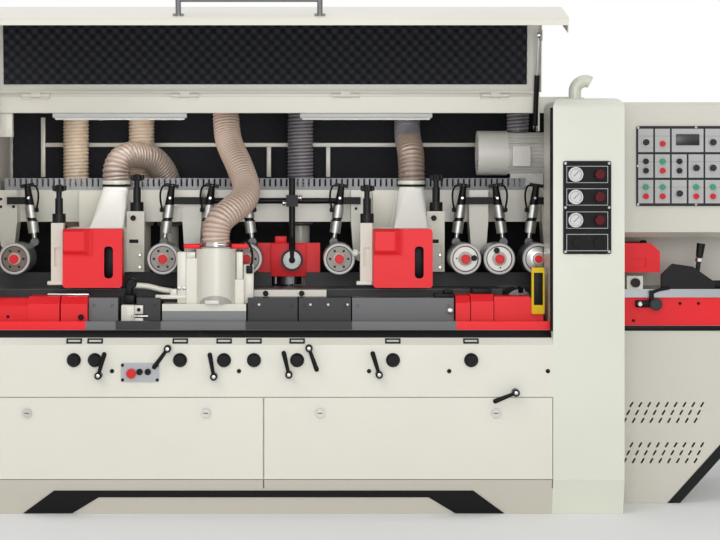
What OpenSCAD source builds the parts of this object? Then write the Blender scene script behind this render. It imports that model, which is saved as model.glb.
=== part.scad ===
// Four sided moulder: a long bed with feed rollers, top, side and bottom cutters,
// under a lifting sound hood, with a control column and an infeed table on the right.
// X runs along the bed, -Y is the operator's side, the origin is on the floor
// below the middle of the base cabinet.

/* [Base cabinet] */
// Length of the base cabinet
base_len = 2400; // [2300:10:2600]
// Depth of the base cabinet
base_depth = 1100; // [1060:10:1300]
// Height of the flat top that the bed stands on
base_h = 763; // [740:1:790]
// Height of the kick panel along the floor
kick_h = 146; // [110:1:180]
// How far the kick panel runs in at the floor
kick_in = 40; // [10:1:80]
// Height of the bevel along the top front edge
bevel_h = 58; // [30:1:80]
// Depth of the bevel along the top front edge
bevel_in = 45; // [20:1:60]
// Distance of the service doors below the flat top
door_drop = 273; // [223:1:343]
// Thickness of the service doors
door_t = 22; // [10:1:40]
// Wall of the base cabinet
base_wall = 10; // [6:1:20]
// Height of the black arch band above the floor
arch_band_z = 75; // [50:1:85]
// Width of the black arch band
arch_band_h = 29; // [20:1:32]

/* [Bed and work path] */
// Height of the table that the timber slides on above the base cabinet
bed_h = 157; // [140:1:175]
// Thickness of the table plates
table_t = 30; // [20:1:40]
// Width of the work path between table front and fence
path_w = 260; // [250:1:300]
// Height of the fence above the table
fence_h = 60; // [40:1:70]
// Height of the covers in front of the bed
cover_h = 133; // [120:1:140]
// Depth of the covers in front of the bed
cover_d = 170; // [140:1:175]

/* [Feed] */
// Diameter of the feed rollers
roller_d = 136; // [110:1:140]
// Length of the feed rollers
roller_len = 230; // [200:1:235]
// Height of the roller axes above the table
roller_rise = 129; // [125:1:140]
// Diameter of the roller shafts
shaft_d = 30; // [20:1:36]
// Tilt of the press cylinders
press_tilt = 8; // [4:0.5:9]
// Diameter of the press cylinders
press_d = 48; // [40:1:52]
// Length of the press cylinders
press_len = 120; // [100:1:125]
// Diameter of the press cylinders' rods
rod_d = 20; // [14:1:24]
// Stroke of the press cylinders
press_stroke = 18; // [8:1:18]

/* [Cutters] */
// Diameter of the cutter heads
cutter_d = 124; // [110:1:128]
// Diameter of the spindles
spindle_d = 40; // [30:1:46]
// Height of the top cutters' axes above the table
top_rise = 126; // [122:1:140]
// Width of the red hoods on the top heads
hood_w = 252; // [235:1:260]
// Height of the red hoods on the top heads
hood_h = 250; // [220:1:258]
// Depth of the red hoods on the top heads
hood_d = 110; // [90:1:116]

/* [Extraction] */
// Outer diameter of the ribbed hoses
hose_d = 120; // [100:1:122]
// Depth of the hose ribs
hose_rib = 5; // [3:1:7]
// Spacing of the hose ribs
hose_pitch = 16; // [14:1:24]
// Wall of the hoses below the ribs
hose_wall = 4; // [3:1:6]
// Height of the dust outlets above the roof
outlet_h = 70; // [40:1:120]

/* [Frame above the bed] */
// Height of the roof above the table
roof_h = 832; // [825:1:880]
// Height of the cross beam's underside above the table
beam_rise = 281; // [275:1:295]
// Height of the cross beam
beam_h = 143; // [120:1:145]
// Depth of the cross beam
beam_d = 90; // [60:1:100]
// Sheet thickness of the enclosure panels
panel_t = 6; // [4:1:12]

/* [Hood lid] */
// Depth of the lid's top panel
lid_top = 380; // [365:1:385]
// Height of the lid's straight front
lid_front = 700; // [680:1:715]
// Length of the lid's sloping lower edge
lid_lip = 250; // [230:1:255]
// Slope of the lid's lower edge
lid_slope = 10; // [4:1:14]
// Radius along the lid's front corner
lid_r = 50; // [45:1:70]
// Sheet thickness of the lid
lid_t = 4; // [3:1:6]
// Depth of the lid's folded end flanges
lid_flange = 60; // [40:1:64]
// Angle to which the lid opens
lid_open = 85.5; // [75:0.5:88]
// Thickness of the sound foam
foam_t = 30; // [20:1:34]
// Length of the lid handle
handle_len = 575; // [300:5:900]
// Height of the lid handle
handle_h = 74; // [50:1:90]
// Diameter of the lid handle's bar
handle_d = 22; // [14:1:28]

/* [Column and infeed] */
// Width of the control column
column_w = 296; // [280:1:330]
// Height of the control column
column_h = 1729; // [1700:1:1740]
// Depth of the control column
column_d = 320; // [300:1:330]
// Rounding of the column's top edges
column_r = 40; // [20:1:60]
// Length of the infeed stand beyond the column
infeed_len = 676; // [600:1:760]
// Length of the infeed stand's foot on the floor beyond the column
infeed_foot = 289; // [260:1:340]
// Height of the infeed stand's sloping corner
infeed_slope_h = 430; // [350:1:450]
// Height of the red apron between the infeed stand and its table
apron_h = 121; // [110:1:135]
// Thickness of the infeed table
infeed_table_t = 36; // [20:1:40]
// Overhang of the infeed table past the stand
infeed_over = 78; // [0:1:90]
// Height of the throat between the infeed table and the control box
throat_h = 220; // [210:1:240]
// Height of the control box
box_h = 584; // [560:1:600]
// Width of the control panel
panel_w = 512; // [480:1:520]
// Height of the control panel
panel_h = 344; // [330:1:360]

/* [Hidden] */
$fn = 40;
clear = 0.4;
fit = 0.3;
x_left = -base_len / 2;
x_right = base_len / 2;
y_front = -base_depth / 2;
y_rear = base_depth / 2;

// Heights stacked on the base cabinet
door_top = base_h - door_drop;
table_z = base_h + bed_h;
beam_z = table_z + beam_rise;
roof_z = table_z + roof_h;
infeed_h = table_z - infeed_table_t - apron_h;
box_z = table_z + throat_h;
box_top = box_z + box_h;

// Work path, seen from the end of the bed
fence_y = 30;
path_y = fence_y - path_w;
bed_rear_y = fence_y + 120;
fence_t = 20;
bed_end = 10;
cutter_gap = 12;
cover_y = path_y - cover_d;

// Places along the bed, from the outfeed end to the infeed end
roller_x = [-1080, -440, -260, -80, 320, 864, 1010, 1178];
press_lean = [1, -1, -1, 1, -1, -1, 1, -1];
press_dx = [56, -12, -14, 20, -20, -22, 42, -14];
post_x = [-1150, -330, 420, 946, 1270];
head_x = [-731, 588];
bottom_cutter_x = 1094;
fence_cutter_x = 100;
side_x = -206;
chamber_x = x_right + 130;

// Feed
roller_z = table_z + roller_rise;
roller_r = roller_d / 2;
roller_y = fence_y - 15 - roller_len;
hanger_t = 36;
hanger_y = roller_y + roller_len + 15;
press_y = hanger_y + hanger_t / 2;
rod_foot = 66;
rod_in = 70;
press_z = roller_z + 106;
bracket_h = 100;

// Top heads
head_z = table_z + top_rise;
cutter_r = cutter_d / 2;
cutter_len = 230;
slide_w = 220;
hood_y = path_y - hood_d - 4;
hood_z = table_z + 11;
chip_wall = 6;
chip_x = hood_w / 2 - 6;
duct_dx = 61;
duct_y = 110;
duct_z = table_z + 440;
duct_bore = 14;
collar_h = 34;

// Frame above the bed
beam_y = 200;
post_y = 76;
post_w = 84;
rail_z = beam_z + 95;
duct_w = 44;
duct_h = 50;
roof_y = -100;
roof_beam_h = 70;
roof_beam_d = 60;
end_t = 30;
end_x = x_left - clear;
outfeed_y0 = path_y - 12;
outfeed_y1 = fence_y + 12;
outfeed_z0 = table_z - 15;
outfeed_z1 = table_z + 146;

// Lid hinge line, and the gas springs beside it
hinge_y = roof_y - 18;
hinge_z = roof_z + 6;
hinge_r = 11;
hinge_pin_r = 5;
hinge_w = 40;
hinge_x = [-1000, -350, 350, 1000];
lid_half = base_len / 2 - 4;
spring_x = lid_half - 20;
spring_y = 18;
spring_z = -138;
spring_tube_r = 11;
spring_rod_r = 5;
spring_tube_l = 235;
spring_pin_r = 6;
lid_pin = [-262, -99];

// Infeed side
col_x1 = x_right + column_w;
infeed_y = y_front + column_d;
infeed_x1 = col_x1 + infeed_len;
throat_y = fence_y + 40;

// Extraction hoses: each route is a short list of points on its middle line,
// with heights above the table
hose_r = hose_d / 2;
hose_bore_r = hose_r - hose_rib - hose_wall;
hose_sides = 8;
hose_fit = 4;
outlet_r = hose_bore_r * cos(180 / hose_sides) - hose_fit;
branch_x = [-881, -579, 153];
branch_y = 400;
branch_z0 = table_z + 260;
stub_z = roof_z - panel_t;
function above_table(p) = [for (q = p) [q[0], q[1], table_z + q[2]]];
side_route = concat([[-180, 150, stub_z - clear]], above_table([
    [-180, 150, 740], [-166, 108, 640], [-116, -10, 530], [-84, -100, 440], [-92, -186, 384],
    [-140, -258, 342], [-190, -306, 296], [-206, -319, 242], [-206, -319, 184]]));
left_route = above_table([
    [-670, 110, 450], [-670, 110, 522], [-650, 129, 572], [-604, 170, 595],
    [-522, 248, 578], [-466, 326, 500], [-450, 380, 390], [-450, 392, 260]]);
right_route = concat(above_table([
    [649, 110, 450], [649, 110, 520], [648, 142, 590], [646, 222, 636],
    [645, 312, 666], [644, 376, 716], [644, 400, 775]]), [[644, 400, stub_z - clear]]);

// Front panel: hand places of the caps, the plugs and the clamp levers
panel_z = base_h - 120;
cap_x = [-786, -699, -346, -164, -40, 139, 536, 860];
cap_r = 29;
cap_h = 22;
plug_x = [-628, -102, 437, 769, 1178];
plug_z = base_h - 166;
lever_at = [[-682, 182], [-396, 71], [-205, 186], [105, 178], [188, 69], [478, 178], [1042, 252]];
lever_hub = [for (p = lever_at) [p[0], base_h - p[1]]];
lever_turn = [16, 216, -10, -13, 160, -17, -112];
lever_len = 92;
lever_hub_r = 15;
lever_hub_h = 52;
lever_pin_r = 8;
lever_pin_l = 24;
lock_x = [-980, -239, 234, 963];
lock_z = door_top - 67;
stop_at = [-547, base_h - 174];

// Column gauges and control panel
gauge_w = 199;
gauge_h = 386;
gauge_z = 1275;
gauge_t = 6;
gauge_rows = [1412, 1319, 1223];
gauge_r = 30;
panel_mid_x = col_x1 + 356;
panel_mid_z = box_z + 309;
panel_plate = 8;
tile_cols = 7;
tile_rows = 3;
tile_w = 64;
tile_h = 100;
tile_pitch_x = 72;
tile_pitch_z = 110;
button_r = 12;
button_h = 14;
button_in = 4;

// Box between two corners
module box(x0, x1, y0, y1, z0, z1) {
    translate([x0, y0, z0]) cube([x1 - x0, y1 - y0, z1 - z0]);
}
// Outline of Y and Z carried along X
module along_x(x0, x1) {
    translate([x0, 0, 0]) rotate([90, 0, 90]) linear_extrude(x1 - x0) children();
}
// Outline of X and Z carried along Y
module along_y(y0, y1) {
    translate([0, y1, 0]) rotate([90, 0, 0]) linear_extrude(y1 - y0) children();
}
// Round bar along Y
module bar_y(x, z, y0, y1, r) {
    translate([x, y1, z]) rotate([90, 0, 0]) cylinder(h = y1 - y0, r = r);
}
// Round bar along X
module bar_x(y, z, x0, x1, r) {
    translate([x0, y, z]) rotate([0, 90, 0]) cylinder(h = x1 - x0, r = r);
}
// Rectangle with rounded corners, as exact squares and circles
module round_rect(x0, x1, z0, z1, r) {
    translate([x0 + r, z0]) square([x1 - x0 - 2 * r, z1 - z0]);
    translate([x0, z0 + r]) square([x1 - x0, z1 - z0 - 2 * r]);
    for (x = [x0 + r, x1 - r], z = [z0 + r, z1 - r]) translate([x, z]) circle(r);
}
function arc(y, z, r, a0, a1, n = 6) =
    [for (i = [0:n]) let (a = a0 + (a1 - a0) * i / n) [y + r * cos(a), z + r * sin(a)]];

// Star knob with its screw: lobes round a hub, on a black threaded sleeve
knob_r = 32;
knob_h = 22;
screw_h = 160;
screw_end = 4;
hub_step = 3;
module screw_knob(x, y, z) {
    translate([x, y, z]) {
        cylinder(h = 40, r = 29);
        cylinder(h = screw_h + screw_end, r = 12);
        translate([0, 0, 40]) cylinder(h = 66, r = 17);
        translate([0, 0, screw_h - knob_h]) {
            translate([0, 0, -hub_step]) cylinder(h = knob_h, r = knob_r * 0.7);
            for (k = [0:4]) rotate(k * 72) translate([knob_r - 9, 0, 0]) cylinder(h = knob_h, r = 9);
        }
    }
}

// Base cabinet
module base_profile() {
    polygon([[y_front + kick_in, 0], [y_rear, 0], [y_rear, base_h], [y_front + bevel_in, base_h],
        [y_front, base_h - bevel_h], [y_front, door_top], [y_front + door_t, door_top],
        [y_front + door_t, kick_h], [y_front, kick_h]]);
}
module base_void() {
    polygon([[y_front + kick_in + base_wall, base_wall], [y_rear - base_wall, base_wall],
        [y_rear - base_wall, base_h - base_wall], [y_front + bevel_in + base_wall, base_h - base_wall],
        [y_front + base_wall, base_h - bevel_h - base_wall], [y_front + base_wall, door_top + base_wall],
        [y_front + door_t + base_wall, door_top + base_wall],
        [y_front + door_t + base_wall, kick_h - base_wall],
        [y_front + kick_in + base_wall, kick_h - base_wall]]);
}
module base_cabinet() color("#e3e0d0") difference() {
    along_x(x_left, x_right) base_profile();
    along_x(x_left + base_wall, x_right - base_wall) base_void();
    for (p = lever_hub) bar_y(p[0], p[1], y_front - 1, y_front + lever_pin_l + fit, lever_pin_r + fit);
    bar_y(stop_at[0], stop_at[1], y_front - 1, y_front + 2 * button_in + 1, button_r + fit);
}
seal_y = y_front + bevel_in + 25;
seal_h = 35;
kick_turn = atan(kick_in / kick_h);
skirt_t = 4;
skirt_z = 3;
arch_top = arch_band_z + arch_band_h;
arch_out = 1000;
arch_in = arch_out - 203;
arch_run = 1.25;
arch_run_in = 1.5;
module base_skirt() color("#1b1b1d") {
    translate([0, y_front + kick_in, 0]) rotate([kick_turn, 0, 0]) along_y(-skirt_t, 0)
        polygon([[-arch_out, skirt_z], [-arch_out + arch_top * arch_run, arch_top],
            [arch_out - arch_top * arch_run, arch_top], [arch_out, skirt_z], [arch_in, skirt_z],
            [arch_in - arch_band_z * arch_run_in, arch_band_z],
            [-arch_in + arch_band_z * arch_run_in, arch_band_z], [-arch_in, skirt_z]]);
    box(-lid_half, lid_half, seal_y, seal_y + 40, base_h, base_h + seal_h);
    along_y(infeed_y - skirt_t, infeed_y) polygon([[col_x1 + infeed_foot - 54, 1],
        [col_x1 + infeed_foot, 1], [infeed_x1, infeed_slope_h], [infeed_x1, infeed_slope_h + 60]]);
}
door_gap = 3;
module service_doors() color("#e3e0d0") for (s = [-1, 1]) {
    x0 = s < 0 ? x_left + door_gap : door_gap;
    box(x0, x0 + base_len / 2 - 2 * door_gap, y_front, y_front + door_t,
        kick_h + door_gap, door_top - door_gap);
    for (x = lock_x) if (x * s > 0) difference() {
        bar_y(x, lock_z, y_front - 9, y_front, 18);
        box(x - 10, x + 10, y_front - 10, y_front - 5, lock_z - 2, lock_z + 2);
    }
}
module front_knobs() color("#202022") {
    for (x = cap_x) translate([x, y_front, panel_z]) rotate([90, 0, 0]) {
        cylinder(h = 10, r = cap_r);
        translate([0, 0, 10]) cylinder(h = cap_h - 10, r1 = cap_r, r2 = cap_r * 0.72);
    }
    for (x = plug_x) bar_y(x, plug_z, y_front - 3, y_front, 9);
    difference() {
        along_y(y_front - 5, y_front)
            round_rect(stop_at[0] - 44, stop_at[0] + 114, stop_at[1] - 37, stop_at[1] + 42, 6);
        bar_y(stop_at[0], stop_at[1], y_front - 6, y_front + 1, button_r + fit);
    }
    for (dx = [34, 68]) bar_y(stop_at[0] + dx, stop_at[1] + 6, y_front - 22, y_front - 5, 13);
}
module clamp_lever(k) color("#18181a") translate([lever_hub[k][0], y_front, lever_hub[k][1]])
    rotate([0, lever_turn[k], 0]) {
        rotate([90, 0, 0]) translate([0, 0, clear]) cylinder(h = lever_hub_h, r = lever_hub_r);
        rotate([90, 0, 0]) translate([0, 0, -lever_pin_l]) cylinder(h = lever_pin_l + 1, r = lever_pin_r);
        translate([0, -lever_hub_h + 12, 0]) cylinder(h = lever_len, r1 = 7, r2 = 10);
        translate([0, -lever_hub_h + 12, lever_len]) sphere(r = 10);
    }

// Bed: casting, table plates with a throat for the bottom cutter, and fence
bed_x1 = x_right - bed_end;
throat_x = cutter_r + cutter_gap;
module bed_casting() color("#4b4e52") {
    difference() {
        union() {
            box(x_left + bed_end, bed_x1, path_y, bed_rear_y, base_h, table_z - table_t);
            box(x_left + bed_end, bed_x1, path_y, fence_y + fence_t, table_z - table_t, table_z);
        }
        box(bottom_cutter_x - throat_x, bottom_cutter_x + throat_x, path_y - 1, fence_y,
            table_z - cutter_d - cutter_gap, table_z + 1);
        bar_y(bottom_cutter_x, table_z - cutter_r + 2, fence_y - 1, bed_rear_y + 1, spindle_d / 2 + fit);
        translate([fence_cutter_x, fence_y + cutter_r + 5, base_h + 20])
            cylinder(h = table_z - base_h, r = spindle_d / 2 + fit);
    }
    for (p = [[x_left + bed_end, fence_cutter_x - throat_x], [fence_cutter_x + throat_x, bed_x1]])
        box(p[0], p[1], fence_y, fence_y + fence_t, table_z + clear, table_z + fence_h);
    for (p = [[-743, -620], [-540, -440], [-70, 140], [146, 366], [372, 802]])
        difference() {
            box(p[0], p[1], cover_y + 30, path_y - clear, base_h, base_h + cover_h - 6);
            for (x = [p[0] + 24, p[1] - 24]) bar_y(x, base_h + cover_h - 40, cover_y + 29, cover_y + 36, 8);
        }
}
// Red covers: boxes in front of the bed, the guard at the fence cutter, the
// apron below the infeed table and the guard above it
cover_t = 4;
cover_cut = 30;
module cover_outline(y, top, d) {
    polygon([[y + d, base_h], [path_y - clear + d, base_h], [path_y - clear + d, top - d],
        [y + cover_cut + d / 2, top - d], [y + d, top - cover_cut - d / 2]]);
}
module cover_box(x0, x1, dy, dz) {
    difference() {
        along_x(x0, x1) cover_outline(cover_y + dy, base_h + cover_h + dz, 0);
        along_x(x0 + cover_t, x1 - cover_t) cover_outline(cover_y + dy, base_h + cover_h + dz, cover_t);
    }
}
apron_z = table_z - infeed_table_t;
guard_y = fence_y + fence_t;
guard_z = table_z + fence_h;
guard_x0 = -36;
guard_x1 = 240;
module end_cover_outline(d) {
    polygon([[972 + d, base_h], [972 + d, base_h + cover_h - d], [1120 - d / 2, base_h + cover_h - d],
        [1180 - d, base_h + cover_h - 70 - d / 2], [1180 - d, base_h]]);
}
module bed_covers() color("#e2282d") {
    cover_box(x_left + bed_end, -1000, 30, -10);
    cover_box(-996, -864, 0, 0);
    cover_box(-858, -746, 0, 0);
    cover_box(808, 868, 0, 4);
    cover_box(872, 968, 10, 10);
    difference() {
        along_y(cover_y + 25, path_y - clear) end_cover_outline(0);
        along_y(cover_y + 25 + cover_t, path_y) end_cover_outline(cover_t);
    }
    box(guard_x0, fence_cutter_x - throat_x, guard_y, guard_y + 12, table_z, guard_z + 130);
    box(fence_cutter_x + throat_x, guard_x1, guard_y, guard_y + 12, table_z, guard_z + 130);
    box(fence_cutter_x - throat_x, fence_cutter_x + throat_x, guard_y, guard_y + 12,
        guard_z + 78, guard_z + 130);
    difference() {
        box(x_right + 4, infeed_x1 + infeed_over, infeed_y + 6, throat_y - clear, infeed_h, apron_z);
        box(x_right + 4 + cover_t, infeed_x1 + infeed_over - cover_t, infeed_y + 6 + cover_t,
            throat_y - cover_t, infeed_h + cover_t, apron_z - cover_t);
        for (x = [infeed_x1 - 420, infeed_x1 - 150]) bar_y(x, infeed_h + 60, infeed_y, infeed_y + 8, 10);
    }
    difference() {
        along_y(infeed_y + 40, throat_y) polygon([[col_x1 + 56, table_z + 70], [col_x1 + 210, table_z + 70],
            [col_x1 + 210, table_z + 160], [col_x1 + 170, table_z + 196], [col_x1 + 56, table_z + 196]]);
        box(col_x1 + 84, col_x1 + 150, infeed_y + 39, infeed_y + 48, table_z + 90, table_z + 130);
    }
}

// Control column with its rounded top and the cable gooseneck
neck_r = 26;
neck_bend = 44;
neck_x = x_right + 110;
neck_y = y_front + 150;
module column_top() {
    intersection() {
        along_x(x_right, col_x1) polygon(concat([[infeed_y - clear, column_h - column_r],
            [infeed_y - clear, column_h]], arc(y_front + column_r, column_h - column_r, column_r, 90, 180)));
        along_y(y_front - 1, infeed_y + 1) {
            translate([x_right + column_r, column_h - column_r - 1])
                square([column_w - 2 * column_r, column_r + 1]);
            for (x = [x_right + column_r, col_x1 - column_r])
                translate([x, column_h - column_r]) circle(column_r);
        }
    }
}
module column_outline(d) {
    polygon([[y_front + kick_in + d, d], [infeed_y - clear - d, d],
        [infeed_y - clear - d, column_h - column_r],
        [y_front + d, column_h - column_r], [y_front + d, kick_h]]);
}
module column_cover() color("#dfe0d2") {
    difference() {
        union() {
            along_x(x_right, col_x1) column_outline(0);
            column_top();
        }
        along_x(x_right + panel_t, col_x1 - panel_t) column_outline(panel_t);
    }
    translate([neck_x, neck_y, column_h - 1]) difference() {
        union() {
            cylinder(h = 8, r = neck_r + 12);
            cylinder(h = 34, r = neck_r);
            translate([neck_bend, 0, 34]) rotate([90, 0, 180])
                rotate_extrude(angle = 118) translate([neck_bend, 0]) circle(neck_r);
        }
        translate([neck_bend, 0, 34]) rotate([90, 0, 180]) rotate([0, 0, 90])
            rotate_extrude(angle = 40) translate([neck_bend, 0]) circle(neck_r - 4);
    }
}
module gauge_panel() color("#242426") {
    x0 = x_right + 41;
    along_y(y_front - gauge_t, y_front)
        round_rect(x0, x0 + gauge_w, gauge_z - gauge_h / 2, gauge_z + gauge_h / 2, 8);
    for (z = gauge_rows) {
        translate([x0 + 50, y_front - gauge_t, z]) rotate([90, 0, 0]) difference() {
            cylinder(h = 18, r = gauge_r);
            translate([0, 0, 12]) cylinder(h = 8, r = gauge_r - 4);
        }
        bar_y(x0 + 148, z, y_front - gauge_t - 24, y_front - gauge_t, 20);
    }
    for (x = [x0 + 56, x0 + 144]) bar_y(x, 1130, y_front - gauge_t - 14, y_front - gauge_t, 18);
}

// Enclosure behind and above the bed: back, roof with dust outlets, outfeed end
module dust_outlet(x, y) {
    translate([x, y, stub_z - 30]) difference() {
        union() {
            cylinder(h = 30 + panel_t + outlet_h, r = outlet_r);
            translate([0, 0, 30 + panel_t]) cylinder(h = outlet_h, r = hose_r);
        }
        translate([0, 0, -1]) cylinder(h = 40 + panel_t + outlet_h, r = outlet_r - 4);
    }
}
outlet_at = concat([for (x = branch_x) [x, branch_y]], [[side_route[0][0], side_route[0][1]],
    [right_route[7][0], right_route[7][1]]]);
end_front = [[hinge_y - lid_top + 43, base_h + clear], [hinge_y - lid_top, hinge_z - lid_front],
    [hinge_y - lid_top, hinge_z - lid_r], [hinge_y - lid_top + lid_r, roof_z]];
module rear_cabinet() color("#dcd9ca") {
    along_y(y_rear - panel_t, y_rear) polygon([[x_left, base_h], [x_right, base_h], [x_right, infeed_h],
        [chamber_x - clear, infeed_h], [chamber_x - clear, stub_z - clear], [x_left, stub_z - clear]]);
    difference() {
        union() {
            box(x_left, chamber_x - clear, roof_y, y_rear, stub_z, roof_z);
            box(-lid_half, chamber_x - clear, roof_y, roof_y + roof_beam_d, roof_z - roof_beam_h, stub_z);
            for (x = hinge_x, s = [-1, 1]) {
                k0 = x + s * hinge_w - hinge_w / 2 + clear;
                k1 = x + s * hinge_w + hinge_w / 2 - clear;
                bar_x(hinge_y, hinge_z, k0, k1, hinge_r);
                box(k0, k1, hinge_y, roof_y + 1, roof_z - 10, roof_z - 1);
            }
            for (x = hinge_x) bar_x(hinge_y, hinge_z, x - hinge_w, x + hinge_w, hinge_pin_r);
            for (s = [-1, 1]) {
                x1 = s * (lid_half - 2);
                x2 = s * (spring_x - 7);
                box(min(x1, x1 - s * 6), max(x1, x1 - s * 6), hinge_y + spring_y - 20, roof_y + roof_beam_d,
                    hinge_z + spring_z - 18, roof_z - 10);
                bar_x(hinge_y + spring_y, hinge_z + spring_z, min(x1, x2), max(x1, x2), spring_pin_r);
            }
        }
        for (p = outlet_at) translate([p[0], p[1], stub_z - 1]) cylinder(h = panel_t + 2, r = outlet_r);
    }
    for (p = outlet_at) dust_outlet(p[0], p[1]);
    for (x = concat(branch_x, [left_route[7][0]]))
        translate([x, x == left_route[7][0] ? left_route[7][1] : branch_y, base_h]) difference() {
            cylinder(h = branch_z0 + 40 - base_h, r = outlet_r);
            translate([0, 0, -1]) cylinder(h = branch_z0 + 42 - base_h, r = outlet_r - 4);
        }
    box(x_left - end_t, end_x, end_front[0][0], y_rear, base_h + clear, outfeed_z0);
    along_x(x_left - end_t, end_x) polygon([[end_front[0][0] - 22, outfeed_z0 + clear],
        [outfeed_y0, outfeed_z0 + clear], [outfeed_y0, outfeed_z1 - clear],
        [end_front[1][0], outfeed_z1 - clear]]);
    box(x_left - end_t, end_x, outfeed_y1, y_rear, outfeed_z0 + clear, outfeed_z1 - clear);
    along_x(x_left - end_t, end_x) polygon([[end_front[1][0], outfeed_z1], end_front[2], end_front[3],
        [y_rear, roof_z], [y_rear, outfeed_z1]]);
}

// Cross beam with the posts that carry the press cylinders
post_z = [for (h = [190, 120, 140, 140, 160]) table_z + h];
post_foot = 32;
module roller_beam() color("#e3e0d0") {
    box(x_left, chamber_x, beam_y, beam_y + beam_d, beam_z, beam_z + beam_h);
    for (k = [0:4]) along_y(post_y, beam_y - clear) translate([post_x[k], 0]) {
        polygon([[-post_w / 2, beam_z + beam_h], [post_w / 2, beam_z + beam_h], [post_w / 2, beam_z],
            [post_foot, post_z[k]], [-post_foot, post_z[k]], [-post_w / 2, beam_z]]);
        translate([0, post_z[k]]) circle(post_foot);
    }
}
// Slotted cable duct along the beam
slot_pitch = 25;
slot_w = 9;
slot_n = floor((base_len - 40) / slot_pitch);
module cable_duct() color("#8d9194") translate([x_left + 20, beam_y, beam_z + beam_h]) {
    box(0, slot_n * slot_pitch, 0, duct_w, 0, 3);
    for (y = [0, duct_w - 3]) along_y(y, y + 3) polygon(concat([[0, 3]],
        [for (i = [0:slot_n - 1], p = [[0, duct_h], [slot_pitch - slot_w, duct_h], [slot_pitch - slot_w, 16],
            [slot_pitch, 16]]) [i * slot_pitch + p[0], p[1]]], [[slot_n * slot_pitch, 3]]));
    box(0, slot_n * slot_pitch, 0, duct_w, duct_h, duct_h + 3);
}

// Feed stations: cylinder and bracket on a post, rod with hanger, roller
module at_press(k) {
    translate([roller_x[k] + press_dx[k], press_y, roller_z + rod_foot])
        rotate([0, -press_lean[k] * press_tilt, 0]) children();
}
press_up = press_z - roller_z - rod_foot;
module press_body(k) {
    at_press(k) translate([0, 0, press_up]) {
        cylinder(h = press_len, r = press_d / 2 - 4);
        for (z = [0, press_len * 0.54]) translate([0, 0, z]) cylinder(h = press_len * 0.46, r = press_d / 2);
        translate([0, 0, press_len]) cylinder(h = bracket_h, r1 = press_d / 2 - 4, r2 = 13);
        translate([-30, -7, press_len + bracket_h - 16]) cube([60, 14, 16]);
    }
}
// Bracket from a cylinder to the face of its post, or back to the beam where it has no post
post_of = [0, 1, 1, undef, 2, 3, 3, 4];
module press_bracket(k) {
    zb = post_of[k] == undef ? rail_z + 32 : press_z + press_len + 22;
    xb = roller_x[k] + press_dx[k] - press_lean[k] * tan(press_tilt) * (zb - roller_z - rod_foot);
    if (post_of[k] == undef) {
        box(xb - 14, xb + 14, press_y, beam_y - clear, zb - 14, zb + 14);
    } else {
        xp = post_x[post_of[k]];
        box(min(xb, xp), max(xb, xp), post_y - 24, post_y - clear, zb - 16, zb + 16);
    }
}
module press_cylinders() color("#b9bcc0") for (k = [0:7]) difference() {
    union() {
        press_body(k);
        press_bracket(k);
    }
    at_press(k) translate([0, 0, press_up - 1])
        cylinder(h = rod_in + press_stroke + 3, r = rod_d / 2 + fit);
}
module roller_hanger(k) color("#3a3d41") {
    at_press(k) translate([0, 0, -10]) cylinder(h = press_up + rod_in + 10, r = rod_d / 2);
    translate([0, hanger_y, 0]) difference() {
        along_y(0, hanger_t) {
            translate([roller_x[k], roller_z]) circle(shaft_d / 2 + 14);
            translate([roller_x[k] + press_dx[k], roller_z + rod_foot]) circle(rod_d / 2 + 8);
            polygon([[roller_x[k] - shaft_d / 2 - 10, roller_z + 6],
                [roller_x[k] + shaft_d / 2 + 10, roller_z + 6],
                [roller_x[k] + press_dx[k] + rod_d / 2 + 6, roller_z + rod_foot],
                [roller_x[k] + press_dx[k] - rod_d / 2 - 6, roller_z + rod_foot]]);
        }
        bar_y(roller_x[k], roller_z, -1, hanger_t + 1, shaft_d / 2 + fit);
    }
}
module feed_roller(k) color("#9a9da1") translate([roller_x[k], roller_y, roller_z])
    rotate([-90, 0, 0]) difference() {
        rotate_extrude() polygon([[0, -8], [20, -8], [26, -2], [26, 8], [roller_r * 0.78, 8],
            [roller_r * 0.82, 0], [roller_r - 3, 0], [roller_r, 3], [roller_r, roller_len - 3],
            [roller_r - 3, roller_len], [shaft_d / 2, roller_len],
            [shaft_d / 2, roller_len + hanger_t + 20], [0, roller_len + hanger_t + 20]]);
        for (a = [0:60:300]) rotate(a) translate([roller_r * 0.58, 0, 1]) cylinder(h = 17, r = 5);
    }

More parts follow.
